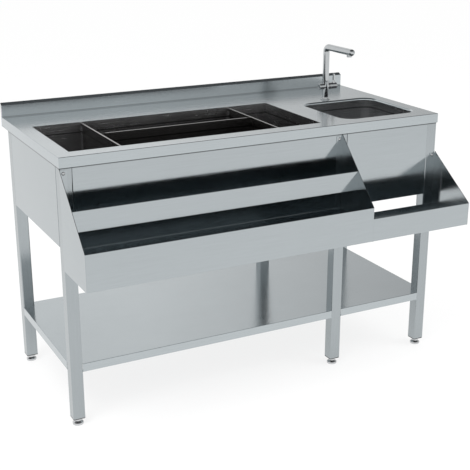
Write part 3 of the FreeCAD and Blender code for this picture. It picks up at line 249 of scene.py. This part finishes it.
FINISH = {
    "worktop": "deck", "bowl_surround": "deck", "ice_bin_liner": "bin",
    "ice_bin_foam": "foam", "ice_bin_casing": "casing",
    "ice_bin_drain": "bright", "ice_bin_drain_nut": "plastic", "ice_bin_strainer": "bright",
    "divider_left": "divider", "divider_right": "divider", "divider_middle": "divider",
    "divider_left_strips": "divider", "divider_right_strips": "divider",
    "divider_guides": "bin", "sink_bowl": "bowl", "sink_waste": "bright",
    "sink_waste_seal": "rubber", "sink_waste_nut": "plastic", "sink_strainer": "bright",
    "tap_base_ring": "chrome", "tap_body": "chrome", "tap_rotor": "brass", "tap_handle": "chrome",
    "tap_lever": "chrome", "tap_spout": "chrome", "tap_aerator": "chrome", "tap_washer": "rubber",
    "tap_nut": "brass", "tap_inlets": "brass", "leg_inserts": "plastic", "apron_left": "front",
    "apron_right": "front", "side_panel_left": "side", "side_panel_right": "side",
    "rear_rail_left": "casing", "rear_rail_right": "casing", "cross_rail": "casing",
    "lower_shelf": "deck", "shelf_stiffeners": "casing", "rail_plate_left": "side",
    "rail_plate_middle_left": "side", "rail_plate_middle_right": "side",
    "rail_plate_right": "side", "trough_upper": "front", "trough_lower": "front",
    "trough_right": "front", "rail_screws": "bright",
}


def dress(obj, key):
    obj.data.materials.clear()
    obj.data.materials.append(MATERIALS[key])


for node_name, node in NODES.items():
    if node_name.startswith("leg_") and node_name != "leg_inserts":
        dress(node, "leg")
    elif node_name.startswith("foot_"):
        dress(node, "bright")
    else:
        dress(node, FINISH[node_name])


# ---------------------------------------------------------------------------
# Mesh tools. Lengths are millimetres from the worktop's front left corner on the
# floor, as in the part's drawing: +X right, +Y back, +Z up.
# ---------------------------------------------------------------------------
MM = 0.001
CORNER = Vector((-0.700, -0.225, 0.0))
AXES = {
    "x": (Vector((0, 1, 0)), Vector((0, 0, 1)), Vector((1, 0, 0))),
    "y": (Vector((0, 0, 1)), Vector((1, 0, 0)), Vector((0, 1, 0))),
    "z": (Vector((1, 0, 0)), Vector((0, 1, 0)), Vector((0, 0, 1))),
}


def at(x, y, z):
    return CORNER + Vector((x, y, z)) * MM


def eased(points, radii, steps=6):
    """An open outline of (a, b) points with its inner corners rounded."""
    out = [points[0]]
    for before, corner, after, radius in zip(points, points[1:], points[2:], radii):
        if radius == 0:
            out.append(corner)
            continue
        here = Vector(corner)
        back, ahead = Vector(before) - here, Vector(after) - here
        half = back.angle(ahead) / 2
        setback = min(radius / math.tan(half), 0.49 * min(back.length, ahead.length))
        start, end = here + back.normalized() * setback, here + ahead.normalized() * setback
        middle = (back.normalized() + ahead.normalized()).normalized()
        centre = here + middle * (setback / math.cos(half))
        first = math.atan2(start.y - centre.y, start.x - centre.x)
        turn = math.atan2(end.y - centre.y, end.x - centre.x) - first
        turn = (turn + math.pi) % (2 * math.pi) - math.pi
        reach = setback * math.tan(half)
        for step in range(steps + 1):
            angle = first + turn * step / steps
            out.append((centre.x + reach * math.cos(angle), centre.y + reach * math.sin(angle)))
    out.append(points[-1])
    return out


def loft(bm, rings, wrap=False):
    """Quads between rings of points; wrap joins the last ring to the first."""
    rows = [[bm.verts.new(point) for point in ring] for ring in rings]
    pairs = list(zip(rows, rows[1:] + (rows[:1] if wrap else [])))
    for low, high in pairs:
        sides = max(len(low), len(high))
        for i in range(sides):
            j = (i + 1) % sides
            if len(low) == 1 and len(high) == 1:
                break
            if len(low) == 1:
                bm.faces.new((low[0], high[j], high[i]))
            elif len(high) == 1:
                bm.faces.new((low[i], low[j], high[0]))
            else:
                bm.faces.new((low[i], low[j], high[j], high[i]))
    return rows


def lathe(profile, centre, axis="z", sides=56, thread=None, bm=None):
    """Turn a closed outline of (radius, height) about an axis through centre.

    thread is (low, high, pitch, depth): between these heights the radius follows
    a screw thread.
    """
    bm = bm or bmesh.new()
    u, v, w = AXES[axis]
    middle = at(*centre)
    rings = []
    for radius, height in profile:
        if radius == 0:
            rings.append([middle + w * height * MM])
            continue
        ring = []
        for step in range(sides):
            angle = 2 * math.pi * step / sides
            r = radius
            if thread and thread[0] <= height <= thread[1]:
                turn = (height / thread[2] - step / sides) % 1.0
                r -= thread[3] * abs(2 * turn - 1)
            ring.append(middle + (u * r * math.cos(angle) + v * r * math.sin(angle)
                                  + w * height) * MM)
        rings.append(ring)
    loft(bm, rings, wrap=True)
    return bm


def threaded(radius, low, high, pitch):
    """Rows of an outline along a thread, four to a turn."""
    rows = int((high - low) / pitch * 4)
    return [(radius, low + (high - low) * row / rows) for row in range(rows + 1)]


def combined(base, tool, operation):
    """One closed mesh from two: DIFFERENCE or UNION."""
    pair = []
    for bm in (base, tool):
        bmesh.ops.recalc_face_normals(bm, faces=bm.faces)
        mesh = bpy.data.meshes.new("work")
        bm.to_mesh(mesh)
        bm.free()
        obj = bpy.data.objects.new("work", mesh)
        bpy.context.scene.collection.objects.link(obj)
        pair.append(obj)
    modifier = pair[0].modifiers.new("combine", "BOOLEAN")
    modifier.operation = operation
    modifier.solver = "EXACT"
    modifier.object = pair[1]
    graph = bpy.context.evaluated_depsgraph_get()
    solid = pair[0].evaluated_get(graph)
    result = bmesh.new()
    result.from_mesh(solid.to_mesh())
    solid.to_mesh_clear()
    for obj in pair:
        mesh = obj.data
        bpy.data.objects.remove(obj)
        bpy.data.meshes.remove(mesh)
    return result


def piece(name, bm, finish, body, slot, *nodes, crease=35.0):
    """Finish a mesh: normals, smooth shading, material, body and replaced nodes; slot is not used.
    """
    bmesh.ops.remove_doubles(bm, verts=bm.verts, dist=1e-7)
    bmesh.ops.recalc_face_normals(bm, faces=bm.faces)
    mesh = bpy.data.meshes.new(name)
    bm.to_mesh(mesh)
    bm.free()
    mesh.polygons.foreach_set("use_smooth", [True] * len(mesh.polygons))
    mesh.set_sharp_from_angle(angle=math.radians(crease))
    mesh.materials.append(MATERIALS[finish])
    obj = bpy.data.objects.new(name, mesh)
    bpy.context.scene.collection.objects.link(obj)
    weighted = obj.modifiers.new("weighted", "WEIGHTED_NORMAL")
    weighted.keep_sharp = True
    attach(obj, body)
    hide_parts(*nodes)
    return obj


# ---------------------------------------------------------------------------
# Sink: the rolled surround, the drawn bowl, its waste and both strainers.
# ---------------------------------------------------------------------------
BOWL_X, BOWL_Y = 1200.5, 213.0
BOWL_HALF_X, BOWL_HALF_Y = 151.0, 151.5
BOWL_CORNER = 48.0
BOWL_SHEET = 1.2
BOWL_FLOOR_RADIUS = 26.0
BOWL_TOP, BOWL_FLOOR = 891.0, 714.5
DECK_TOP, DECK_SHEET = 900.0, 1.5
MOUTH_RADIUS = 8.0
SURROUND_MARGIN = 14.0
SURROUND_FLATS = 3             # the worktop's opening has three flats to a corner
CORNER_STEPS = 15
WASTE_HOLE_RADIUS = 25.0
WASTE_BOTTOM = 636.5
SINK_STRAINER_SEAT = 716.5
DRAIN_X, DRAIN_Y = 497.0, 163.0
DRAIN_FLANGE_Z, DRAIN_BOTTOM = 655.0, 586.0
BIN_STRAINER_SEAT = 657.3
OUTLET_PITCH, OUTLET_THREAD_DEPTH = 2.3, 0.7


def bowl_ring(margin, z, flats=0):
    """The bowl's outline moved out by margin, its corners round or in a few flats."""
    radius = BOWL_CORNER + margin
    points = []
    for quarter, (sx, sy) in enumerate(((1, 1), (-1, 1), (-1, -1), (1, -1))):
        x = BOWL_X + sx * (BOWL_HALF_X - BOWL_CORNER)
        y = BOWL_Y + sy * (BOWL_HALF_Y - BOWL_CORNER)
        for step in range(CORNER_STEPS + 1):
            turn = math.pi / 2 * step / CORNER_STEPS
            reach = radius
            if flats:
                flat = math.pi / 2 / flats
                reach *= math.cos(flat / 2) / math.cos(turn % flat - flat / 2)
            angle = math.pi / 2 * quarter + turn
            points.append(at(x + reach * math.cos(angle), y + reach * math.sin(angle), z))
    return points


def waste_ring(share, margin, z):
    """Between the bowl's outline at margin (share 0) and the round waste hole (share 1)."""
    centre = at(BOWL_X, BOWL_Y, z)
    ring = []
    for point in bowl_ring(margin, z):
        spoke = (point - centre).normalized() * WASTE_HOLE_RADIUS * MM
        ring.append(point.lerp(centre + spoke, share))
    return ring


def arc(start, end, steps):
    return [math.radians(start + (end - start) * step / steps) for step in range(steps + 1)]


def make_surround():
    rings = [bowl_ring(SURROUND_MARGIN, DECK_TOP, SURROUND_FLATS)]
    for thickness, turns in ((0.0, arc(90, 0, 10)), (DECK_SHEET, arc(0, 90, 6))):
        radius = MOUTH_RADIUS - thickness
        roll = [bowl_ring(MOUTH_RADIUS - radius * math.cos(turn),
                          DECK_TOP - MOUTH_RADIUS + radius * math.sin(turn)) for turn in turns]
        lip = [bowl_ring(thickness, BOWL_TOP)]
        rings += roll + lip if thickness == 0 else lip + roll
    rings.append(bowl_ring(SURROUND_MARGIN, DECK_TOP - DECK_SHEET, SURROUND_FLATS))
    bm = bmesh.new()
    loft(bm, rings, wrap=True)
    piece("surround_rolled", bm, "deck", "frame", "steel", "bowl_surround")


def make_bowl():
    rings = [bowl_ring(0, BOWL_TOP)]
    shares = (0.2, 0.45, 0.75, 1.0)
    rings += [bowl_ring(-BOWL_FLOOR_RADIUS * (1 - math.cos(turn)),
                        BOWL_FLOOR + BOWL_FLOOR_RADIUS * (1 - math.sin(turn)))
              for turn in arc(0, 90, 8)]
    rings += [waste_ring(share, -BOWL_FLOOR_RADIUS, BOWL_FLOOR) for share in shares]
    under = BOWL_FLOOR - BOWL_SHEET
    radius = BOWL_FLOOR_RADIUS + BOWL_SHEET
    rings += [waste_ring(share, -BOWL_FLOOR_RADIUS, under) for share in shares[::-1]]
    rings += [bowl_ring(BOWL_SHEET - radius * (1 - math.cos(turn)),
                        under + radius * (1 - math.sin(turn))) for turn in arc(90, 0, 8)]
    rings.append(bowl_ring(BOWL_SHEET, BOWL_TOP))
    bm = bmesh.new()
    loft(bm, rings, wrap=True)
    piece("bowl_drawn", bm, "bowl", "frame", "steel", "sink_bowl")


def make_outlet(name, node, slot, x, y, z, flange, flange_height, shank, shank_depth, tail,
                bottom, bore):
    """A flanged outlet with a threaded tail; heights run from the flange's underside."""
    low = bottom - z
    thread_top = -shank_depth - 1.0
    profile = threaded(tail, low, thread_top, OUTLET_PITCH) + [(tail - 0.6, -shank_depth)]
    profile += eased([(shank, -shank_depth), (shank, 0), (flange, 0), (flange, flange_height),
                      (bore, flange_height), (bore, low)], (0, 0.3, 1.2, 2.0))
    bm = lathe(profile, (x, y, z), sides=64,
               thread=(low, thread_top, OUTLET_PITCH, OUTLET_THREAD_DEPTH))
    piece(name, bm, "bright", "frame", slot, node)


def make_strainer(name, node, body, x, y, seat, radius, plug, thickness, rows):
    """A pierced plate with a turned-down plug and a knob to lift it by.

    rows are rings of holes: (radius of the ring, number of holes, radius of a hole).
    """
    outline = [(0, 0.3), (plug - 1.2, 0.3), (plug - 1.2, -8), (plug, -8), (plug, 0), (radius, 0),
               (radius, thickness), (plug - 2, thickness - 0.4), (3.0, thickness), (3.0, 8.4),
               (5.5, 8.4), (5.5, 11.0), (0, 11.0)]
    profile = eased(outline, (0, 0, 0, 0, 0.3, 1.0, 3.0, 2.0, 1.2, 0.8, 2.2))
    holes = bmesh.new()
    for ring, count, size in rows:
        for step in range(count):
            angle = 2 * math.pi * step / count
            lathe([(0, -1), (size, -1), (size, 5), (0, 5)],
                  (x + ring * math.cos(angle), y + ring * math.sin(angle), seat), sides=14,
                  bm=holes)
    bm = combined(lathe(profile, (x, y, seat)), holes, "DIFFERENCE")
    piece(name, bm, "bright", body, "bright_steel", node)


make_surround()
make_bowl()
make_outlet("waste_turned", "sink_waste", "bright_steel", BOWL_X, BOWL_Y, BOWL_FLOOR, 36.0, 1.8,
            24.5, 13.2, 23.9, WASTE_BOTTOM, 20.5)
make_outlet("drain_turned", "ice_bin_drain", "steel", DRAIN_X, DRAIN_Y, DRAIN_FLANGE_Z, 32.0,
            2.0, 21.5, 40.0, 20.95, DRAIN_BOTTOM, 17.5)
make_strainer("sink_strainer_pierced", "sink_strainer", "sink_strainer", BOWL_X, BOWL_Y,
              SINK_STRAINER_SEAT, 30.0, 20.0, 2.4,
              ((8.0, 6, 1.6), (12.0, 10, 1.6), (16.2, 14, 1.6)))
make_strainer("ice_strainer_pierced", "ice_bin_strainer", "ice_strainer", DRAIN_X, DRAIN_Y,
              BIN_STRAINER_SEAT, 22.0, 17.0, 2.0, ((7.5, 6, 1.5), (12.2, 12, 1.5)))


# ---------------------------------------------------------------------------
# Tap.
# ---------------------------------------------------------------------------
TAP_X, TAP_Y = 1181.0, 405.0
TAP_RADIUS = 12.0
TAP_SIDES = 72
SHANK_RADIUS, SHANK_PITCH = 13.5, 1.5
PIVOT_RADIUS, PIVOT_TOP = 9.15, 984.0
VALVE_Z = 950.0
VALVE_LEFT, VALVE_RIGHT = 1152.0, 1193.0
HANDLE_LEFT, HANDLE_RIGHT = 1193.8, 1228.0
LEVER_X, LEVER_FLAT_Z, LEVER_TOP = 1217.0, 960.0, 995.0
SPOUT_BOTTOM, SPOUT_AXIS_Z, SPOUT_BEND, SPOUT_END_Y = 968.0, 1098.0, 17.0, 237.0
SPOUT_RADIUS = 11.9
OUTLET_Y, OUTLET_RADIUS, OUTLET_BORE, OUTLET_BOTTOM = 251.0, 10.0, 8.5, 1084.5
AERATOR_BOTTOM = 1080.5


def make_tap_base():
    outline = [(13.55, 0), (17.5, 0), (17.5, 3.6), (15.0, 4.6), (14.2, 9.0), (13.55, 9.0)]
    profile = eased(outline, (0.3, 1.3, 1.6, 0.4))
    piece("tap_ring_stepped", lathe(profile, (TAP_X, TAP_Y, DECK_TOP), sides=TAP_SIDES),
          "chrome", "frame", "chrome", "tap_base_ring")


def make_tap_body():
    shank_low, shank_high = 855.0, 897.0
    top = 967.6
    column = [(0, shank_low)] + threaded(SHANK_RADIUS, shank_low, shank_high, SHANK_PITCH)
    column += eased([(SHANK_RADIUS, 898), (SHANK_RADIUS, 908.9), (TAP_RADIUS, 909.2),
                     (TAP_RADIUS, top), (PIVOT_RADIUS, top), (PIVOT_RADIUS, PIVOT_TOP),
                     (0, PIVOT_TOP)], (0.4, 0.2, 0.7, 0.4, 0.6))
    shaft = lathe(column, (TAP_X, TAP_Y, 0), sides=TAP_SIDES,
                  thread=(shank_low + 0.1, shank_high, SHANK_PITCH, 0.7))
    width = VALVE_RIGHT - VALVE_LEFT
    housing = eased([(0, 0.8), (6.5, 0.8), (7.5, 0), (11.0, 0), (11.0, width), (0, width)],
                    (0.3, 0.3, 2.4, 0.5))
    body = combined(shaft, lathe(housing, (VALVE_LEFT, TAP_Y, VALVE_Z), "x", TAP_SIDES), "UNION")
    seat = lathe([(0, 0), (4.05, 0), (4.05, 14), (0, 14)],
                 (VALVE_RIGHT - 10.0, TAP_Y, VALVE_Z), "x", 32)
    piece("tap_body_cast", combined(body, seat, "DIFFERENCE"), "chrome", "frame", "chrome",
          "tap_body")


def make_tap_handle():
    length = HANDLE_RIGHT - HANDLE_LEFT
    outline = [(0, 14), (4.0, 14), (4.0, 0), (12.0, 0), (12.0, 5.0), (11.2, 5.6), (11.2, 6.4),
               (12.0, 7.0), (12.0, length), (0, length)]
    profile = eased(outline, (0, 0, 0.7, 0.3, 0.2, 0.2, 0.3, 2.6))
    grip = lathe(profile, (HANDLE_LEFT, TAP_Y, VALVE_Z), "x", TAP_SIDES)
    socket = lathe([(0, -7), (4.5, -7), (4.5, 0), (7.1, 0), (7.1, 12), (0, 12)],
                   (LEVER_X, TAP_Y, LEVER_FLAT_Z), sides=40)
    piece("tap_handle_turned", combined(grip, socket, "DIFFERENCE"), "chrome", "handle", "chrome",
          "tap_handle")
    length = LEVER_TOP - LEVER_FLAT_Z
    outline = [(0, -7), (4.5, -7), (4.5, 0), (7.0, 0), (6.6, 2.2), (4.5, 11.0), (4.3, length),
               (0, length)]
    profile = eased(outline, (0, 0, 0.4, 3.0, 9.0, 3.2), 8)
    piece("tap_lever_turned", lathe(profile, (LEVER_X, TAP_Y, LEVER_FLAT_Z), sides=40), "chrome",
          "handle", "chrome", "tap_lever")


def spout_ring(radius, run):
    """A ring across the spout, run millimetres above its lower end along its axis."""
    upright = SPOUT_AXIS_Z - SPOUT_BEND - SPOUT_BOTTOM
    bend = SPOUT_BEND * math.pi / 2
    if run <= upright:
        turn, centre = 0.0, at(TAP_X, TAP_Y, SPOUT_BOTTOM + run)
    elif run < upright + bend:
        turn = (run - upright) / SPOUT_BEND
        centre = at(TAP_X, TAP_Y - SPOUT_BEND * (1 - math.cos(turn)),
                    SPOUT_AXIS_Z - SPOUT_BEND * (1 - math.sin(turn)))
    else:
        turn = math.pi / 2
        centre = at(TAP_X, TAP_Y - SPOUT_BEND - (run - upright - bend), SPOUT_AXIS_Z)
    across = Vector((0, math.cos(turn), math.sin(turn)))
    return [centre + (Vector((1, 0, 0)) * math.cos(angle) + across * math.sin(angle)) * radius * MM
            for angle in (2 * math.pi * side / TAP_SIDES for side in range(TAP_SIDES))]


def make_tap_spout():
    upright = SPOUT_AXIS_Z - SPOUT_BEND - SPOUT_BOTTOM
    bend = SPOUT_BEND * math.pi / 2
    end = upright + bend + TAP_Y - SPOUT_BEND - SPOUT_END_Y
    rings = [[at(TAP_X, TAP_Y, SPOUT_BOTTOM + 17)], spout_ring(9.2, 17), spout_ring(9.2, 0.4),
             spout_ring(9.6, 0), spout_ring(11.3, 0), spout_ring(11.8, 0.2),
             spout_ring(SPOUT_RADIUS, 0.8), spout_ring(SPOUT_RADIUS, 4.0), spout_ring(11.6, 4.4),
             spout_ring(11.6, 5.0), spout_ring(SPOUT_RADIUS, 5.4)]
    rings += [spout_ring(SPOUT_RADIUS, upright + bend * step / 20) for step in range(21)]
    rings += [spout_ring(SPOUT_RADIUS * math.cos(turn), end + SPOUT_RADIUS * math.sin(turn))
              for turn in arc(0, 84, 14)]
    rings.append([at(TAP_X, SPOUT_END_Y - SPOUT_RADIUS, SPOUT_AXIS_Z)])
    tube = bmesh.new()
    loft(tube, rings)
    height = SPOUT_AXIS_Z - OUTLET_BOTTOM
    stub = lathe(eased([(0, 0), (OUTLET_RADIUS, 0), (OUTLET_RADIUS, height), (0, height)],
                       (0.5, 0)), (TAP_X, OUTLET_Y, OUTLET_BOTTOM), sides=TAP_SIDES)
    hole = lathe([(0, -1), (OUTLET_BORE, -1), (OUTLET_BORE, 6), (0, 6)],
                 (TAP_X, OUTLET_Y, OUTLET_BOTTOM), sides=48)
    body = combined(combined(tube, stub, "UNION"), hole, "DIFFERENCE")
    piece("tap_spout_bent", body, "chrome", "spout", "chrome", "tap_spout")


def make_tap_aerator():
    collar = OUTLET_BOTTOM - AERATOR_BOTTOM
    profile = [(0, 1.6)]
    for ridge in (1.4, 2.8, 4.2, 5.6, 7.0):
        profile += [(ridge, 1.6), (ridge, 0.9), (ridge + 0.4, 0.9), (ridge + 0.4, 1.6)]
    profile += eased([(8.3, 1.6), (8.3, 0), (OUTLET_RADIUS, 0), (OUTLET_RADIUS, collar),
                      (OUTLET_BORE, collar), (OUTLET_BORE, collar + 5), (0, collar + 5)],
                     (0.3, 0.9, 0.3, 0, 0.3))
    bm = lathe(profile, (TAP_X, OUTLET_Y, AERATOR_BOTTOM), sides=TAP_SIDES)
    piece("tap_aerator_turned", bm, "chrome", "spout", "chrome", "tap_aerator")


make_tap_base()
make_tap_body()
make_tap_handle()
make_tap_spout()
make_tap_aerator()


# ---------------------------------------------------------------------------
# Feet and screws.
# ---------------------------------------------------------------------------
FEET = {
    "front_left": (21.5, 23.0), "front_middle": (1000.0, 23.0), "front_right": (1378.5, 23.0),
    "back_left": (21.5, 558.0), "back_middle": (1000.0, 558.0), "back_right": (1378.5, 558.0),
}
SCREWS = ((13.0, 850.0), (987.0, 850.0), (1013.0, 749.0), (1387.0, 749.0))
SCREW_SEAT_Y = 1.5
SCREW_HEAD_HEIGHT = 2.8
FOOT_STUD_RADIUS, FOOT_STUD_PITCH = 5.0, 1.5


def make_foot(place, x, y):
    neck_top, stud_low, stud_top = 23.7, 24.5, 49.0
    profile = eased([(0, 0), (18.0, 0), (18.0, 7.0), (11.0, 13.5), (11.0, neck_top),
                     (FOOT_STUD_RADIUS, neck_top), (FOOT_STUD_RADIUS, stud_low)],
                    (1.6, 2.2, 2.5, 0.8, 0.2))
    profile += threaded(FOOT_STUD_RADIUS, stud_low + 0.2, stud_top - 1, FOOT_STUD_PITCH)
    profile += [(4.2, stud_top), (0, stud_top)]
    bm = lathe(profile, (x, y, 0), thread=(stud_low + 0.1, stud_top - 0.9, FOOT_STUD_PITCH, 0.6))
    piece("foot_turned_" + place, bm, "bright", "foot_" + place, "bright_steel", "foot_" + place)


def make_screws():
    heads, crosses = bmesh.new(), bmesh.new()
    face = -SCREW_HEAD_HEIGHT
    profile = eased([(0, face), (3.4, face), (5.5, -0.6), (5.5, 0), (2.5, 0), (2.5, 10), (0, 10)],
                    (3.0, 0.5, 0.1, 0, 0.5))
    arm, reach, deep, proud = 0.5, 2.4, 1.6, 1.0
    plus = [(arm, arm), (arm, reach), (-arm, reach), (-arm, arm), (-reach, arm), (-reach, -arm),
            (-arm, -arm), (-arm, -reach), (arm, -reach), (arm, -arm), (reach, -arm), (reach, arm)]
    for x, z in SCREWS:
        lathe(profile, (x, SCREW_SEAT_Y, z), "y", 40, bm=heads)
        tip, mouth = SCREW_SEAT_Y + face + deep, SCREW_SEAT_Y + face - proud
        rows = loft(crosses, [[at(x + 0.8 * a, tip, z + 0.8 * b) for a, b in plus],
                              [at(x + a, mouth, z + b) for a, b in plus]])
        for row in rows:
            crosses.faces.new(row)
    piece("screws_cross_head", combined(heads, crosses, "DIFFERENCE"), "bright", "frame",
          "bright_steel", "rail_screws")


for place, (foot_x, foot_y) in FEET.items():
    make_foot(place, foot_x, foot_y)
make_screws()


# ---------------------------------------------------------------------------
# Stage: floor, world and lamps.
# ---------------------------------------------------------------------------
def show_through(tree, plain, shown):
    """Mix two shaders: shown for camera, glossy and transmission rays, else plain."""
    path = tree.tree.nodes.new("ShaderNodeLightPath")
    seen = tree.math("MAXIMUM", path.outputs["Is Camera Ray"], path.outputs["Is Glossy Ray"])
    seen = tree.math("MAXIMUM", seen, path.outputs["Is Transmission Ray"])
    mix = tree.tree.nodes.new("ShaderNodeMixShader")
    tree.link(plain, mix.inputs[1])
    tree.link(shown, mix.inputs[2])
    return mix, seen


FLOOR_GLOW = 0.80     # share of plain white that the camera sees in the floor; the rest is shaded


def make_floor():
    size = 60.0
    mesh = bpy.data.meshes.new("floor")
    mesh.from_pydata([(-size, -size, 0), (size, -size, 0), (size, size, 0), (-size, size, 0)],
                     [], [(0, 1, 2, 3)])
    floor = bpy.data.objects.new("floor", mesh)
    bpy.context.scene.collection.objects.link(floor)
    material = bpy.data.materials.new("floor_white")
    material.use_nodes = True
    tree = Tree(material.node_tree)
    diffuse = tree.tree.nodes.new("ShaderNodeBsdfDiffuse")
    diffuse.inputs["Color"].default_value = (0.95, 0.95, 0.95, 1)
    glow = tree.tree.nodes.new("ShaderNodeEmission")
    glow.inputs["Color"].default_value = (1, 1, 1, 1)
    glow.inputs["Strength"].default_value = 1.0
    mix, seen = show_through(tree, diffuse.outputs[0], glow.outputs[0])
    tree.link(tree.math("MULTIPLY", seen, FLOOR_GLOW), mix.inputs[0])
    output = tree.tree.nodes.new("ShaderNodeOutputMaterial")
    tree.link(mix.outputs[0], output.inputs["Surface"])
    mesh.materials.append(material)


# What the metal reflects, by the direction's upward and rightward share.
WALL_TOP, CEILING_FROM = 0.45, 0.80
CEILING_TONE = (0.100, 0.105, 0.110, 1)
RIGHT_SHADE = 0.62    # how bright the room's right side is, its left side being 1
RIGHT_SPAN = (0.34, 0.60)


def make_world():
    """White to the camera; metal sees white low down and a dark ceiling overhead."""
    world = bpy.data.worlds.new("studio")
    bpy.context.scene.world = world
    world.use_nodes = True
    tree = Tree(world.node_tree)
    plain = tree.tree.nodes.new("ShaderNodeBackground")
    plain.inputs["Color"].default_value = (1, 1, 1, 1)
    plain.inputs["Strength"].default_value = 1.0
    white = tree.tree.nodes.new("ShaderNodeBackground")
    white.inputs["Color"].default_value = (1, 1, 1, 1)
    white.inputs["Strength"].default_value = 1.0
    studio = tree.tree.nodes.new("ShaderNodeBackground")
    studio.inputs["Strength"].default_value = 1.0
    direction = tree.tree.nodes.new("ShaderNodeTexCoord").outputs["Generated"]
    parts = tree.tree.nodes.new("ShaderNodeSeparateXYZ")
    tree.link(direction, parts.inputs[0])
    ramp = tree.tree.nodes.new("ShaderNodeValToRGB")
    ramp.color_ramp.interpolation = "EASE"
    stops = ramp.color_ramp.elements
    stops[0].position, stops[0].color = WALL_TOP, (1, 1, 1, 1)
    stops[1].position, stops[1].color = CEILING_FROM, CEILING_TONE
    tree.link(parts.outputs["Z"], ramp.inputs[0])
    side = tree.span(parts.outputs["X"], 1.0, RIGHT_SHADE, *RIGHT_SPAN)
    shade = tree.tree.nodes.new("ShaderNodeVectorMath")
    shade.operation = "SCALE"
    tree.link(ramp.outputs[0], shade.inputs[0])
    tree.link(side, shade.inputs["Scale"])
    tree.link(shade.outputs[0], studio.inputs["Color"])
    path = tree.tree.nodes.new("ShaderNodeLightPath")
    glossy = tree.math("MAXIMUM", path.outputs["Is Glossy Ray"],
                       path.outputs["Is Transmission Ray"])
    first = tree.tree.nodes.new("ShaderNodeMixShader")
    tree.link(path.outputs["Is Camera Ray"], first.inputs[0])
    tree.link(plain.outputs[0], first.inputs[1])
    tree.link(white.outputs[0], first.inputs[2])
    second = tree.tree.nodes.new("ShaderNodeMixShader")
    tree.link(glossy, second.inputs[0])
    tree.link(first.outputs[0], second.inputs[1])
    tree.link(studio.outputs[0], second.inputs[2])
    output = tree.tree.nodes.new("ShaderNodeOutputWorld")
    tree.link(second.outputs[0], output.inputs["Surface"])


def make_lamp(name, place, target, size, power):
    data = bpy.data.lights.new(name, "AREA")
    data.shape = "DISK"
    data.size = size
    data.energy = power
    lamp = bpy.data.objects.new(name, data)
    bpy.context.scene.collection.objects.link(lamp)
    lamp.location = place
    aim(lamp, target)
    lamp.visible_glossy = False
    return lamp


def aim(obj, target):
    dx, dy, dz = (target[i] - obj.location[i] for i in range(3))
    flat = math.hypot(dx, dy)
    obj.rotation_euler = (math.pi / 2 + math.atan2(dz, flat), 0, math.atan2(dy, dx) - math.pi / 2)


make_floor()
make_world()
make_lamp("key", (-2.4, -1.6, 4.2), (0, 0, 0.4), 2.5, 120.0)
make_lamp("fill", (3.0, -2.0, 3.4), (0, 0, 0.4), 3.0, 60.0)


# ---------------------------------------------------------------------------
# Camera: the photograph's viewpoint.
# ---------------------------------------------------------------------------
CAMERA_PLACE = (-1.531, -2.9767, 1.6224)
CAMERA_YAW = 27.25
CAMERA_PITCH = 18.80
FOCAL_PIXELS = 987.1
FRAME_PIXELS = 470
SENSOR = 36.0

camera_data = bpy.data.cameras.new("camera")
camera_data.sensor_fit = "HORIZONTAL"
camera_data.sensor_width = SENSOR
camera_data.lens = FOCAL_PIXELS / FRAME_PIXELS * SENSOR
camera_data.clip_start = 0.05
camera_data.clip_end = 200.0
camera = bpy.data.objects.new("camera", camera_data)
camera.location = CAMERA_PLACE
camera.rotation_euler = (math.radians(90 - CAMERA_PITCH), 0, math.radians(-CAMERA_YAW))
bpy.context.scene.collection.objects.link(camera)
bpy.context.scene.camera = camera
bpy.context.scene.view_settings.view_transform = "Standard"
bpy.context.scene.cycles.max_bounces = 14
bpy.context.scene.cycles.glossy_bounces = 12
bpy.context.scene.cycles.diffuse_bounces = 3
